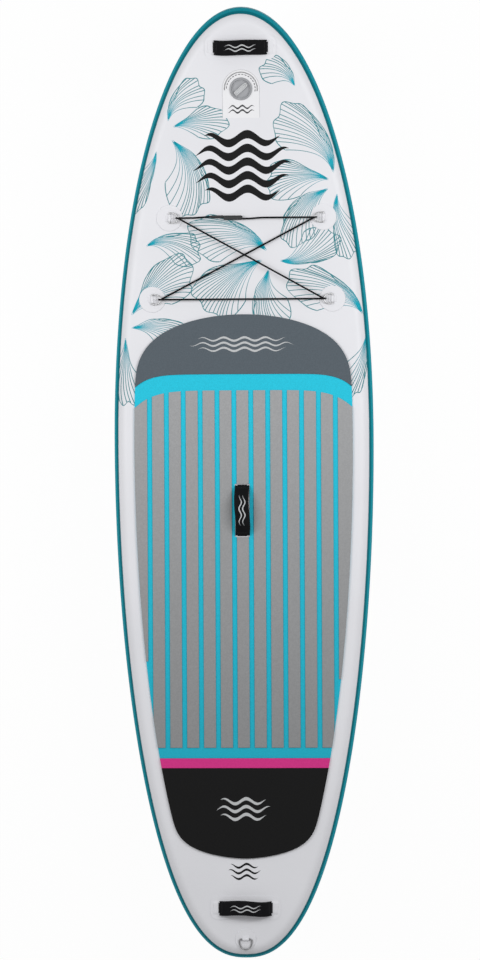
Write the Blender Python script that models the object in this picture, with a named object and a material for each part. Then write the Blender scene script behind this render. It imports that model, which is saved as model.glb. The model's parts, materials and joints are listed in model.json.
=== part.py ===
"""An inflatable stand-up paddle board, as an assembly of separate pieces.

Metres. +Y points to the nose, +Z up from the deck, +X to the right seen from above with the nose up.
The origin is under the middle of the board, level with the tip of the centre fin.
A station is a place along the middle surface of the hull, forward of its middle.
A lift is a height above the deck's outer face, square to the middle surface.
"""

import math

import bmesh
import bpy
import numpy as np
from mathutils import Matrix, Vector

# Hull
LENGTH = 2.896
WIDTH = 0.800
THICKNESS = 0.127
WIDEST_STATION = 0.144
NOSE_POWERS = (2.08, 2.03)
TAIL_POWERS = (1.97, 2.36)
RAIL_BULGE = 0.045
NOSE_ROCKER_HEIGHT = 0.180
NOSE_ROCKER_START = 0.300
TAIL_ROCKER_HEIGHT = 0.030
TAIL_ROCKER_START = -0.700
RIM_POINTS = 68
RIM_CROWDING = 0.08
SKIN = 0.0010
TAPE = 0.0008
SEAM_ANGLE = math.radians(30)
TAPE_TOP_ANGLE = math.radians(47)
TAPE_LOW_ANGLE = math.radians(8)
SHOULDER_ANGLE = math.radians(71)

# Clearances
GAP = 0.0003
PAD_GLUE = 0.0005
SEAT_LIFT = 0.0008
SIDE_GAP = 0.0006

# Deck pad: a base sheet, planks on it, and full-height panels at both ends
PAD_NOSE_INSET = 0.914
PAD_TAIL_INSET = 0.308
PAD_MARGIN = 0.065
PAD_BASE = 0.0030
PLANK_THICKNESS = 0.0025
ARCH_RISE = 0.245
ARCH_POWERS = (3.2, 2.0)
ARCH_PANEL = 0.1865
ARCH_PANEL_DROOP = 0.040
FRONT_BAND = 0.0506
PLANK_DROOP_LENGTH = 0.052
REAR_BAND = 0.0325
STRIPE = 0.0303
TAIL_PANEL = 0.278
TAIL_ROUND = 0.176
TAIL_ROUND_POWERS = (5.5, 1.65)
PLANKS = 13
GROOVE = 0.0141
OUTER_PLANK_EXTRA = 0.0053
PLANK_OFFSET = -0.0030
PLANK_TIP = 0.006
EDGE_ROOM = 0.010

# Handles: a strap whose feet lie under a slotted patch, and a padded grip round it
NOSE_HANDLE_INSET = 0.108
TAIL_HANDLE_INSET = 0.157
CENTRE_HANDLE_STATION = -0.071
CENTRE_HANDLE_X = -0.0045
END_HANDLE_REACH = 0.0825
END_HANDLE_RISE = 0.0292
CENTRE_HANDLE_REACH = 0.0790
CENTRE_HANDLE_RISE = 0.040
END_PATCH = (0.216, 0.072)
PATCH_CORNER = 0.024
PATCH = 0.0009
PATCH_SLOPE = 0.0030
WEBBING_WIDTH = 0.030
WEBBING = 0.0018
STRAP_FOOT = 0.014
STRAP_STEP = (0.0035, 0.0042)
GRIP_SHORT = 0.0045
GRIP_WIDTH = 0.0455
GRIP_THICKNESS = 0.013
GRIP_END_THICKNESS = 0.0062
SLOT_MARGIN = 0.0012
PLANK_SLOT_MARGIN = 0.0025

# Lashing points and leash point
UPPER_RING_INSET = 0.616
LOWER_RING_INSET = 0.867
UPPER_RING_MARGIN = 0.109
LOWER_RING_MARGIN = 0.103
UPPER_RING_OFFSET = 0.013
LOWER_RING_OFFSET = -0.0015
LEASH_RING_INSET = 0.062
RING_LENGTH = 0.036
RING_DEPTH = 0.032
RING_WIRE = 0.0050
LEASH_RING_LENGTH = 0.044
LEASH_RING_DEPTH = 0.036
LASHING_PATCH_RADIUS = 0.040
LEASH_PATCH_RADIUS = 0.032
RING_PATCH = 0.0015
LOOP_LENGTH = 0.020
LOOP_WALL = 0.0016
RING_PLAY = 0.0004
LASHING_RING_TILT = math.radians(14)
LEASH_RING_TILT = math.radians(-1)

# Elastic deck lashing
CORD = 0.0055
CORD_END_LEFT = -0.0545
CORD_END_RIGHT = 0.0015
SLEEVE_SPANS = ((-0.0950, -0.0568), (-0.0562, -0.0010))
SLEEVE_WALLS = (0.0017, 0.0010)

# Inflation valve
VALVE_INSET = 0.230
FLANGE_RADIUS = 0.034
FLANGE = 0.0034
CAP_RADIUS = 0.027
MOUTH_RADIUS = 0.019
TUBE_WALL = 0.0035
TUBE_DEPTH = 0.034
NUT_WIDTH = 0.0065
NUT_HEIGHT = 0.007
GASKET = 0.0012
CAP_PLATE = 0.0030
CAP_BAR = (0.044, 0.009, 0.0045)
CAP_BAR_TURN = math.radians(48)
PLUG_DEPTH = 0.005
STEM_RADIUS = 0.0035
BUTTON_RADIUS = 0.0085
SEAL_THICKNESS = 0.003
STEM_TRAVEL = 0.008
SPRING_WIRE = 0.0009
SPRING_TURNS = 3.0
POCKET_MARGIN = 0.0025

# Fins
FIN_INSET = 0.308
BOX_LENGTH = 0.250
BOX_WIDTH = 0.0270
BOX_HEIGHT = 0.0290
BOX_FLANGE = (0.290, 0.054, 0.0030)
CHANNEL_LENGTH = 0.205
CHANNEL_WIDTH = 0.0102
CHANNEL_DEPTH = 0.0245
GROOVE_SIDE = 0.0030
GROOVE_HEIGHT = 0.0036
GROOVE_FROM_MOUTH = 0.0135
ENTRY_LENGTH = 0.017
FIN_PLAY = 0.0004
FIN_DEPTH = 0.205
FIN_CHORD = 0.160
FIN_SWEEP = 0.085
FIN_THICKNESS = 0.0090
TAB_LENGTH = 0.120
TONGUE_LENGTH = 0.030
TONGUE_HEIGHT = 0.005
SCREW_RADIUS = 0.0021
SCREW_HEAD = (0.0080, 0.0070)
PLATE_LENGTH = 0.014
SIDE_FIN_INSET = 0.368
SIDE_FIN_SPREAD = 0.380
SIDE_FIN_DEPTH = 0.110
SIDE_FIN_CHORD = 0.115
SIDE_FIN_SWEEP = 0.055
SIDE_FIN_THICKNESS = 0.0060
SIDE_FIN_LEAN = math.radians(6)
SIDE_FIN_FLANGE = (0.170, 0.036, 0.0022)

HALF = THICKNESS / 2
NOSE_TIP = LENGTH / 2
TAIL_TIP = -LENGTH / 2
FIN_STATION = TAIL_TIP + FIN_INSET
BOX_MOUTH = GAP + BOX_HEIGHT
FIN_TIP = BOX_MOUTH + SIDE_GAP + FIN_DEPTH
PAD_HEIGHT = PAD_BASE + GAP + PLANK_THICKNESS
PLANK_PITCH = (WIDTH - 2 * (PAD_MARGIN + OUTER_PLANK_EXTRA) + GROOVE) / PLANKS
FOOT_ROOM = WEBBING_WIDTH / 2 + SLOT_MARGIN
SLOT_REACH = CENTRE_HANDLE_REACH + PLANK_SLOT_MARGIN
FOOT_REACH = CENTRE_HANDLE_REACH + STRAP_FOOT

# Base colour, roughness and metallic value of each finish
FINISHES = {
    "chamber_fabric": ((0.55, 0.56, 0.57), 0.8, 0.0),
    "white_pvc": ((0.80, 0.81, 0.83), 0.42, 0.0),
    "teal_pvc": ((0.012, 0.27, 0.36), 0.40, 0.0),
    "rail_pvc": ((0.72, 0.73, 0.75), 0.42, 0.0),
    "cyan_foam": ((0.035, 0.52, 0.70), 0.85, 0.0),
    "grey_foam": ((0.30, 0.30, 0.30), 0.88, 0.0),
    "slate_foam": ((0.10, 0.125, 0.145), 0.88, 0.0),
    "magenta_foam": ((0.55, 0.035, 0.21), 0.85, 0.0),
    "black_foam": ((0.012, 0.012, 0.013), 0.85, 0.0),
    "webbing": ((0.016, 0.016, 0.018), 0.75, 0.0),
    "neoprene": ((0.011, 0.012, 0.013), 0.70, 0.0),
    "stainless": ((0.66, 0.66, 0.67), 0.25, 1.0),
    "elastic": ((0.010, 0.010, 0.011), 0.60, 0.0),
    "sleeve_plastic": ((0.014, 0.015, 0.017), 0.45, 0.0),
    "valve_grey": ((0.36, 0.37, 0.39), 0.40, 0.0),
    "valve_dark": ((0.16, 0.165, 0.175), 0.45, 0.0),
    "seal_rubber": ((0.03, 0.03, 0.032), 0.60, 0.0),
    "fin_black": ((0.014, 0.014, 0.016), 0.35, 0.0),
    "brass": ((0.60, 0.42, 0.17), 0.30, 1.0),
}


def clear_scene():
    for thing in list(bpy.data.objects):
        bpy.data.objects.remove(thing, do_unlink=True)


def finish_object(thing, finish, parent):
    """Links an object and gives it a material of its own."""
    color, roughness, metallic = FINISHES[finish]
    material = bpy.data.materials.new(thing.name)
    material.use_nodes = True
    shader = material.node_tree.nodes["Principled BSDF"]
    shader.inputs["Base Color"].default_value = (*color, 1.0)
    shader.inputs["Roughness"].default_value = roughness
    shader.inputs["Metallic"].default_value = metallic
    thing.data.materials.append(material)
    bpy.context.scene.collection.objects.link(thing)
    thing.parent = parent
    return thing


def solid(name, finish, shape, parent=None):
    """An object from a pair of points and faces, with its faces turned outward."""
    points, faces = shape
    mesh = bpy.data.meshes.new(name)
    mesh.from_pydata([tuple(p) for p in points], [], faces)
    work = bmesh.new()
    work.from_mesh(mesh)
    bmesh.ops.recalc_face_normals(work, faces=work.faces)
    work.to_mesh(mesh)
    work.free()
    mesh.shade_smooth()
    mesh.set_sharp_from_angle(angle=math.radians(35))
    return finish_object(bpy.data.objects.new(name, mesh), finish, parent)


def wire(name, finish, points, radius, closed, parent=None):
    """A round wire or cord along a list of points."""
    curve = bpy.data.curves.new(name, "CURVE")
    curve.dimensions = "3D"
    curve.bevel_depth = radius
    curve.bevel_resolution = 2
    curve.use_fill_caps = not closed
    spline = curve.splines.new("POLY")
    spline.points.add(len(points) - 1)
    for point, place in zip(spline.points, points):
        point.co = (*place, 1.0)
    spline.use_cyclic_u = closed
    return finish_object(bpy.data.objects.new(name, curve), finish, parent)


def place(name, matrix, parent=None):
    """An empty that carries the pieces of one assembly, on its joint's axis where it moves."""
    empty = bpy.data.objects.new(name, None)
    bpy.context.scene.collection.objects.link(empty)
    empty.parent = parent
    empty.matrix_local = matrix
    return empty


def combine(target, operation, tool):
    """Cuts or joins with a guide object that isn't a piece itself."""
    modifier = target.modifiers.new(operation.title(), "BOOLEAN")
    modifier.operation = operation
    modifier.object = tool
    tool.hide_render = True
    tool.display_type = "WIRE"


def loft(rings, ends):
    """Joins rings of equally many points. ends: flat caps, a loop back to the start, or rungs
    across each end ring between its left and right points."""
    count = len(rings[0])
    points = [p for ring in rings for p in ring]
    spans = len(rings) if ends == "loop" else len(rings) - 1
    faces = []
    for r in range(spans):
        low, high = r * count, (r + 1) % len(rings) * count
        for k in range(count):
            n = (k + 1) % count
            faces.append((low + k, low + n, high + n, high + k))
    if ends == "flat":
        faces.append(tuple(range(count)))
        faces.append(tuple(len(points) - 1 - k for k in range(count)))
    if ends == "rungs":
        for first in (0, len(points) - count):
            for k in range(count // 2):
                corners = (k, k + 1, (count - k - 1) % count, (count - k) % count)
                faces.append(tuple(first + c for c in dict.fromkeys(corners)))
    return points, faces


def turned(profile, segments):
    """A profile of (radius, height) points turned about Z. One that starts and ends on the axis
    closes there, and any other closes on itself."""
    on_axis = profile[0][0] == 0
    points, rows = [], []
    for radius, height in profile:
        if radius == 0:
            rows.append([len(points)] * segments)
            points.append((0, 0, height))
            continue
        rows.append([len(points) + k for k in range(segments)])
        for k in range(segments):
            angle = 2 * math.pi * k / segments
            points.append((radius * math.cos(angle), radius * math.sin(angle), height))
    faces = []
    for r in range(len(rows) - on_axis):
        low, high = rows[r], rows[(r + 1) % len(rows)]
        for k in range(segments):
            n = (k + 1) % segments
            faces.append(tuple(dict.fromkeys((low[k], low[n], high[n], high[k]))))
    return points, faces


def block(size, centre):
    """A box of a size about a centre."""
    x, y, z = (s / 2 for s in size)
    corners = [(-x, -y), (x, -y), (x, y), (-x, y)]
    rings = [[(centre[0] + a, centre[1] + b, centre[2] + h) for a, b in corners] for h in (-z, z)]
    return loft(rings, "flat")


def slab(length, width, low, high, segments=20, power=2.0, centre=(0, 0)):
    """A plate between two heights, with a round or rounded-off outline along Y."""
    def ring(height):
        turn = [2 * math.pi * k / segments for k in range(segments)]
        return [
            (
                centre[0] + width / 2 * rounded(math.sin(a), power),
                centre[1] + length / 2 * rounded(math.cos(a), power),
                height,
            )
            for a in turn
        ]

    return loft([ring(low), ring(high)], "flat")


def rounded(value, power):
    """Squares off a circle's sine or cosine into that of a fuller outline."""
    return math.copysign(abs(value) ** (2 / power), value)


# Hull form


def half_width(station):
    """Half the hull's width at a station."""
    ahead = station >= WIDEST_STATION
    reach = (NOSE_TIP if ahead else -TAIL_TIP) - math.copysign(WIDEST_STATION, 1 if ahead else -1)
    along, across = NOSE_POWERS if ahead else TAIL_POWERS
    share = min(1.0, abs(station - WIDEST_STATION) / reach)
    return WIDTH / 2 * (1 - share**along) ** (1 / across)


def outline_point(angle):
    """A point (x, station) of the hull's outline, from the nose tip round by the right side."""
    c, s = math.cos(angle), math.sin(angle)
    along, across = NOSE_POWERS if c >= 0 else TAIL_POWERS
    reach = NOSE_TIP - WIDEST_STATION if c >= 0 else WIDEST_STATION - TAIL_TIP
    return rounded(s, across) * WIDTH / 2, WIDEST_STATION + rounded(c, along) * reach


def rim(inset, count=RIM_POINTS):
    """The outline moved inward by a distance. Its points lie closer together at both tips."""
    points = []
    for k in range(count):
        turn = 2 * math.pi * k / count
        angle = turn - RIM_CROWDING * math.sin(2 * turn)
        x, y = outline_point(angle)
        after, before = outline_point(angle + 0.01), outline_point(angle - 0.01)
        along = Vector((after[0] - before[0], after[1] - before[1])).normalized()
        points.append((x + along.y * inset, y - along.x * inset))
    return points


FINE_RIM = np.array(rim(0, 720))


def rocker(station):
    """How far the middle surface rises above its flat middle."""
    if station > NOSE_ROCKER_START:
        return NOSE_ROCKER_HEIGHT * ((station - NOSE_ROCKER_START) / (NOSE_TIP - NOSE_ROCKER_START)) ** 2
    if station < TAIL_ROCKER_START:
        return TAIL_ROCKER_HEIGHT * ((station - TAIL_ROCKER_START) / (TAIL_TIP - TAIL_ROCKER_START)) ** 2
    return 0.0


def pitch(station):
    """The angle of the middle surface, nose up."""
    if station > NOSE_ROCKER_START:
        run = NOSE_TIP - NOSE_ROCKER_START
        return math.atan(2 * NOSE_ROCKER_HEIGHT * (station - NOSE_ROCKER_START) / run**2)
    if station < TAIL_ROCKER_START:
        run = TAIL_TIP - TAIL_ROCKER_START
        return math.atan(2 * TAIL_ROCKER_HEIGHT * (station - TAIL_ROCKER_START) / run**2)
    return 0.0


FIN_MIDDLE = FIN_CHORD / 2 + TONGUE_LENGTH - (TAB_LENGTH + TONGUE_LENGTH) / 2
FIN_TIP_AFT = FIN_MIDDLE + FIN_SWEEP
MIDDLE_HEIGHT = (
    (HALF + FIN_TIP) * math.cos(pitch(FIN_STATION))
    + FIN_TIP_AFT * math.sin(pitch(FIN_STATION))
    - rocker(FIN_STATION)
)


def hull_point(x, station, height):
    """A point at a height off the middle surface."""
    angle = pitch(station)
    return Vector(
        (
            x,
            station - height * math.sin(angle),
            MIDDLE_HEIGHT + rocker(station) + height * math.cos(angle),
        )
    )


def hull_ring(angle, depth):
    """The hull's rim at an angle round its side, this deep under the outer face."""
    reach = (RAIL_BULGE - depth) * math.cos(angle)
    height = (HALF - depth) * math.sin(angle)
    return [hull_point(x, y, height) for x, y in rim(RAIL_BULGE - reach)]


def shoulder_drop(x, station):
    """How far the deck has fallen towards its rounded edge."""
    inside = np.hypot(FINE_RIM[:, 0] - x, FINE_RIM[:, 1] - station).min()
    if inside >= RAIL_BULGE:
        return 0.0
    return HALF * (1 - math.sqrt(1 - ((RAIL_BULGE - inside) / RAIL_BULGE) ** 2))


RIM_STATIONS = [TAIL_TIP] + [y for x, y in rim(RAIL_BULGE)][RIM_POINTS // 2 :: -1] + [NOSE_TIP]
RIM_ROCKER = [rocker(y) for y in RIM_STATIONS]


def facet_rise(station):
    """How far the hull's straight facets stand above its curve."""
    return float(np.interp(station, RIM_STATIONS, RIM_ROCKER)) - rocker(station)


def flat_point(x, station, lift):
    """A point above the deck's outer face, as if that had no rounded edge."""
    return hull_point(x, station, HALF + facet_rise(station) + lift)


def deck_point(x, station, lift):
    """A point above the deck's outer face."""
    return flat_point(x, station, lift - shoulder_drop(x, station))


def deck_frame(x, station, reach, turn=0.0):
    """Where a flat fitting sits that touches the deck this far ahead and behind: X to the right,
    Y forward and Z square off the deck."""
    rear, front = (flat_point(x, station + side * reach, SEAT_LIFT) for side in (-1, 1))
    seat = Matrix.Translation((rear + front) / 2)
    angle = math.atan2(front.z - rear.z, front.y - rear.y)
    return seat @ Matrix.Rotation(angle, 4, "X") @ Matrix.Rotation(turn, 4, "Z")


def bottom_frame(x, station):
    """Where a fitting sits under the hull: X to the right, Y aft and Z square off the bottom."""
    seat = hull_point(x, station, -HALF)
    return Matrix.Translation(seat) @ Matrix.Rotation(pitch(station) + math.pi, 4, "X")


# Hull pieces


def hull_pieces():
    seam, shoulder = SEAM_ANGLE, SHOULDER_ANGLE
    tape_top, tape_low = TAPE_TOP_ANGLE, TAPE_LOW_ANGLE
    deck_angles = [math.pi / 2, shoulder, tape_top, seam]
    core_angles = deck_angles + [0.0] + [-a for a in reversed(deck_angles)]
    core = solid(
        "drop_stitch_core",
        "chamber_fabric",
        loft([hull_ring(a, SKIN + GAP) for a in core_angles], "rungs"),
    )
    skins = []
    for name, side in (("deck_skin", 1), ("bottom_skin", -1)):
        outer = [hull_ring(side * a, 0.0) for a in deck_angles]
        inner = [hull_ring(side * a, SKIN) for a in reversed(deck_angles)]
        skins.append(solid(name, "white_pvc", loft(outer + inner, "rungs")))
    # The side band meets both skins at the seams, this much short of them
    short = seam - GAP / HALF
    outer = [hull_ring(a, 0.0) for a in (short, 0.0, -short)]
    inner = [hull_ring(a, SKIN) for a in (-short, 0.0, short)]
    solid("rail_band", "rail_pvc", loft(outer + inner, "loop"))
    for name, side in (("deck_seam_tape", 1), ("bottom_seam_tape", -1)):
        angles = [side * a for a in (tape_top, seam, tape_low)]
        inner = [hull_ring(a, -GAP) for a in angles]
        outer = [hull_ring(a, -GAP - TAPE) for a in reversed(angles)]
        solid(name, "teal_pvc", loft(inner + outer, "loop"))
    return core, skins[0]


# Pieces laid on the deck


def draped(name, finish, rows, low, high, swell=None):
    """A sheet that follows the deck between two lifts, from rows of (x, station) points. The
    swell says how much further it lies above the deck at a point."""
    wide = len(rows[0])
    flat = [p for row in rows for p in row]
    extra = [swell(*p) if swell else 0.0 for p in flat]
    points = [deck_point(*p, lift + e) for lift in (high, low) for p, e in zip(flat, extra)]
    under = len(flat)
    faces = []
    for r in range(len(rows) - 1):
        for c in range(wide - 1):
            a = r * wide + c
            quad = (a, a + 1, a + wide + 1, a + wide)
            # Twisted quads are split the same way above and below
            for face in (quad[:3], quad[:1] + quad[2:]) if swell else (quad,):
                faces += [face, tuple(under + i for i in reversed(face))]
    edge = list(range(wide)) + [r * wide + wide - 1 for r in range(1, len(rows))]
    edge += [(len(rows) - 1) * wide + c for c in range(wide - 2, -1, -1)]
    edge += [r * wide for r in range(len(rows) - 2, 0, -1)]
    for a, b in zip(edge, edge[1:] + edge[:1]):
        faces.append((a, under + a, under + b, b))
    return solid(name, finish, (points, faces))


PAD_FRONT = NOSE_TIP - PAD_NOSE_INSET
ARCH_SPRING = PAD_FRONT - ARCH_RISE
PAD_REAR = TAIL_TIP + PAD_TAIL_INSET
TAIL_SPRING = PAD_REAR + TAIL_ROUND
STRIPE_REAR = PAD_REAR + TAIL_PANEL
BASE_REAR = STRIPE_REAR + STRIPE
PLANK_REAR = BASE_REAR + REAR_BAND
ARCH_EDGE = PAD_FRONT - ARCH_PANEL
PLANK_FRONT = ARCH_EDGE - FRONT_BAND
ACROSS = (-1, -0.93, -0.8, -0.5, 0, 0.5, 0.8, 0.93, 1)


def pad_half(station):
    """Half the pad's width at a station: even with the outline, and round at both ends."""
    half = half_width(station) - PAD_MARGIN
    if station > ARCH_SPRING:
        share = min(1.0, (station - ARCH_SPRING) / ARCH_RISE)
        half *= (1 - share ** ARCH_POWERS[0]) ** (1 / ARCH_POWERS[1])
    if station < TAIL_SPRING:
        share = min(1.0, (TAIL_SPRING - station) / TAIL_ROUND)
        half *= (1 - share ** TAIL_ROUND_POWERS[0]) ** (1 / TAIL_ROUND_POWERS[1])
    return half


def arch_edge(share):
    """The rear edge of the arch panel, which droops at both ends."""
    return ARCH_EDGE - ARCH_PANEL_DROOP * abs(share) ** 8


def plank_front(x):
    """The front end of the planks, which droops towards the pad's sides."""
    return PLANK_FRONT - PLANK_DROOP_LENGTH * min(1.0, abs(x) / pad_half(ARCH_SPRING)) ** 6


def pad_rows(rear, front, shares):
    """Rows across the pad from one edge to the other. The edges are functions of the share of
    the half width, and shares says how far along each row lies."""
    rows = []
    for share in shares:
        row = []
        for across in ACROSS:
            station = rear(across) + (front(across) - rear(across)) * share
            row.append((across * pad_half(station), station))
        rows.append(row)
    return rows


def facet_stations(rear, front):
    """Where the hull's facets meet, so that what lies on the deck bends along the same lines."""
    return [s for s in RIM_STATIONS if rear + EDGE_ROOM < s < front - EDGE_ROOM]


def plank_rows(left, right, rear, front):
    """Rows of two points along a plank, kept inside the pad's outline."""
    ends = [plank_front(x) if front is None else front for x in (left, right)]
    between = [(s, s) for s in facet_stations(rear, min(ends))]
    rows = []
    for stations in [(rear, rear)] + between + [ends]:
        row = []
        for x, station in zip((left, right), stations):
            half = pad_half(station)
            row.append((max(-half, min(half, x)), station))
        rows.append(row)
    return rows


def deck_pad():
    full = PAD_GLUE + PAD_HEIGHT
    rise = [math.sin(math.radians(a)) for a in (0, 15, 29, 42, 54, 65, 74, 81, 87)]
    arch = pad_rows(lambda s: arch_edge(s) + SIDE_GAP, lambda s: PAD_FRONT, rise)
    draped("pad_nose_arch", "slate_foam", arch, PAD_GLUE, full)

    stations = [BASE_REAR] + facet_stations(BASE_REAR, PLANK_FRONT) + [PLANK_FRONT]
    rows = [[(share * pad_half(s), s) for share in ACROSS] for s in stations]
    rows += pad_rows(arch_edge, arch_edge, [1])
    base = draped("pad_base", "cyan_foam", rows, PAD_GLUE, PAD_GLUE + PAD_BASE)
    cut_handle_slot(base)

    low = PAD_GLUE + PAD_BASE + GAP
    half = (PLANK_PITCH - GROOVE) / 2
    middle = PLANKS // 2
    for k in range(PLANKS):
        name = f"pad_plank_{k + 1:02d}"
        centre = (k - middle) * PLANK_PITCH + PLANK_OFFSET
        left, right = centre - half, centre + half
        if k == 0:
            left = -WIDTH / 2
        if k == PLANKS - 1:
            right = WIDTH / 2
        if k == middle:
            front_rows = plank_rows(left, right, CENTRE_HANDLE_STATION + SLOT_REACH, None)
            draped(name + "_front", "grey_foam", front_rows, low, full)
            rear_rows = plank_rows(left, right, PLANK_REAR, CENTRE_HANDLE_STATION - SLOT_REACH)
            draped(name + "_rear", "grey_foam", rear_rows, low, full)
            continue
        rear = PLANK_REAR
        while pad_half(rear) < min(abs(left), abs(right)) + PLANK_TIP:
            rear += 0.002
        draped(name, "grey_foam", plank_rows(left, right, rear, None), low, full)

    stripe = pad_rows(lambda s: STRIPE_REAR, lambda s: BASE_REAR - SIDE_GAP, (0, 1))
    draped("pad_stripe", "magenta_foam", stripe, PAD_GLUE, full)

    fall = [1 - math.sin(math.radians(a)) for a in (87, 82, 75, 67, 59, 51, 42, 30, 14, 0)]
    tail = pad_rows(lambda s: PAD_REAR, lambda s: STRIPE_REAR - SIDE_GAP, fall)
    draped("pad_tail", "black_foam", tail, PAD_GLUE, full)


def cut_handle_slot(base):
    """The base sheet is open under the grip, and more narrowly round the patch over the feet."""
    frame = place("handle_slot", deck_frame(CENTRE_HANDLE_X, CENTRE_HANDLE_STATION, FOOT_REACH))
    tall = 4 * PAD_HEIGHT
    for name, wide, long in (
        ("grip_room", GRIP_WIDTH, 2 * SLOT_REACH),
        ("feet_room", 2 * (FOOT_ROOM + SLOT_MARGIN), 2 * FOOT_REACH + 4 * SLOT_MARGIN),
    ):
        tall *= 1.1
        room = solid(name, "cyan_foam", block((wide, long, tall), (0, 0, 0)), frame)
        combine(base, "DIFFERENCE", room)


# Handles


def patch_rows(x, station, size, corner, across, along):
    """Rows of (x, station) points over a rectangle with round corners. Across and along say how
    far the columns and the rows lie from its middle."""
    wide, long = size[0] / 2, size[1] / 2
    rows = []
    for v in along:
        beyond = min(corner, max(0.0, abs(v) - (long - corner)))
        share = 1 - (corner - math.sqrt(corner**2 - beyond**2)) / wide
        rows.append([(x + u * share, station + v) for u in across])
    return rows


def both_sides(*values):
    """Each value on both sides of zero, from the lowest to the highest."""
    return sorted({-v for v in values} | set(values))


def offset_path(path, distance):
    """A path in the XZ plane moved to its left, with its corners kept sharp."""
    moved = []
    for k, (x, z) in enumerate(path):
        before, after = path[max(k - 1, 0)], path[min(k + 1, len(path) - 1)]
        first = Vector((x - before[0], z - before[1]))
        second = Vector((after[0] - x, after[1] - z))
        first = (first if k > 0 else second).normalized()
        second = (second if k < len(path) - 1 else first).normalized()
        square = (Vector((-first.y, first.x)) + Vector((-second.y, second.x))).normalized()
        spread = distance / square.dot(Vector((-second.y, second.x)))
        moved.append((x + square.x * spread, z + square.y * spread))
    return moved


def handle(name, frame, reach, rise, patch):
    """A webbing strap arched over a finger gap, in a padded grip. The frame's X runs along it.
    The strap comes up through a slot in the patch from each of its feet."""
    carrier = place(f"{name}_handle", frame)
    foot = PAD_GLUE - SEAT_LIFT + WEBBING / 2
    spring = reach - STRAP_STEP[0]
    base = foot + STRAP_STEP[1]

    def arch(u):
        return u, base + (rise - STRAP_STEP[1]) * (1 - (u / spring) ** 2)

    shares = both_sides(0.12, 0.36, 0.58, 0.77, 0.92, 1.0)
    gripped = [arch((reach - GRIP_SHORT) * share) for share in shares]
    path = [(-reach - STRAP_FOOT, foot), (-reach, foot), arch(-spring)] + gripped
    path += [arch(spring), (reach, foot), (reach + STRAP_FOOT, foot)]
    top, low = offset_path(path, WEBBING / 2), offset_path(path, -WEBBING / 2)
    side = WEBBING_WIDTH / 2
    rings = [
        [(t[0], -side, t[1]), (t[0], side, t[1]), (b[0], side, b[1]), (b[0], -side, b[1])]
        for t, b in zip(top, low)
    ]
    solid(f"{name}_handle_strap", "webbing", loft(rings, "flat"), carrier)

    thin = GRIP_THICKNESS - GRIP_END_THICKNESS
    halves = [(GRIP_THICKNESS - thin * abs(share) ** 6) / 2 for share in shares]
    outer = grip_rings(gripped, GRIP_WIDTH / 2, halves, 3.0)
    inner = grip_rings(gripped, side + SIDE_GAP, [WEBBING / 2 + SIDE_GAP] * len(halves), 12.0)
    solid(f"{name}_handle_grip", "neoprene", loft(outer + inner[::-1], "loop"), carrier)

    for way in (-1, 1):
        middle = way * (reach - STRAP_STEP[0] / 2)
        room = (STRAP_STEP[0] + SLOT_MARGIN, 2 * FOOT_ROOM - SLOT_MARGIN, 4 * WEBBING)
        slot = block(room, (middle, 0, foot + 2 * WEBBING))
        combine(patch, "DIFFERENCE", solid(f"{name}_slot_{way}", "white_pvc", slot, carrier))


def grip_rings(path, half_wide, halves, power):
    """Rounded sections of these half thicknesses, square to a path in the XZ plane."""
    turn = [2 * math.pi * (k + 0.5) / 12 for k in range(12)]
    rings = []
    for k, (x, z) in enumerate(path):
        half_thick = halves[k]
        before, after = path[max(k - 1, 0)], path[min(k + 1, len(path) - 1)]
        along = Vector((after[0] - before[0], after[1] - before[1])).normalized()
        ring = []
        for a in turn:
            up = half_thick * rounded(math.sin(a), power)
            y = half_wide * rounded(math.cos(a), power)
            ring.append((x - along.y * up, y, z + along.x * up))
        rings.append(ring)
    return rings


def handles():
    foot_edge = WEBBING_WIDTH / 2 + GAP
    straight = END_PATCH[1] / 2 - PATCH_CORNER
    turn = [math.radians(a) for a in (30, 60, 90)]
    rounds = [straight + PATCH_CORNER * math.sin(a) for a in turn]
    along = both_sides(0.0, foot_edge, foot_edge + PATCH_SLOPE, *rounds)
    for name, station in (
        ("nose", NOSE_TIP - NOSE_HANDLE_INSET),
        ("tail", TAIL_TIP + TAIL_HANDLE_INSET),
    ):
        inner, outer = foot_span(END_HANDLE_REACH)
        # The nose patch bends down over the deck's rounded edge, so it has more columns there
        middle = (inner + outer) / 2
        columns = (inner - PATCH_SLOPE, inner, middle, outer, outer + PATCH_SLOPE, END_PATCH[0] / 2)
        across = both_sides(*columns)
        rows = patch_rows(0, station, END_PATCH, PATCH_CORNER, across, along)

        def swell(x, y):
            over = inner - GAP <= abs(x) <= outer and abs(y - station) <= FOOT_ROOM
            return WEBBING + GAP + shoulder_drop(x, y) if over else 0.0

        patch = draped(
            f"{name}_handle_patch", "white_pvc", rows, PAD_GLUE, PAD_GLUE + PATCH, swell
        )
        frame = deck_frame(0, station, WEBBING_WIDTH / 2)
        handle(name, frame, END_HANDLE_REACH, END_HANDLE_RISE, patch)

    station = CENTRE_HANDLE_STATION
    inner, outer = foot_span(CENTRE_HANDLE_REACH)
    along = both_sides(inner - PATCH_SLOPE, inner, outer)
    size = (2 * FOOT_ROOM, 2 * outer)
    rows = patch_rows(CENTRE_HANDLE_X, station, size, SLOT_MARGIN, both_sides(FOOT_ROOM), along)

    def rise(x, y):
        return WEBBING + GAP if abs(y - station) >= inner - GAP else 0.0

    patch = draped(
        "centre_handle_patch", "white_pvc", rows, PAD_GLUE, PAD_GLUE + PATCH, rise
    )
    frame = deck_frame(CENTRE_HANDLE_X, station, FOOT_REACH, math.pi / 2)
    handle("centre", frame, CENTRE_HANDLE_REACH, CENTRE_HANDLE_RISE, patch)


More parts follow.
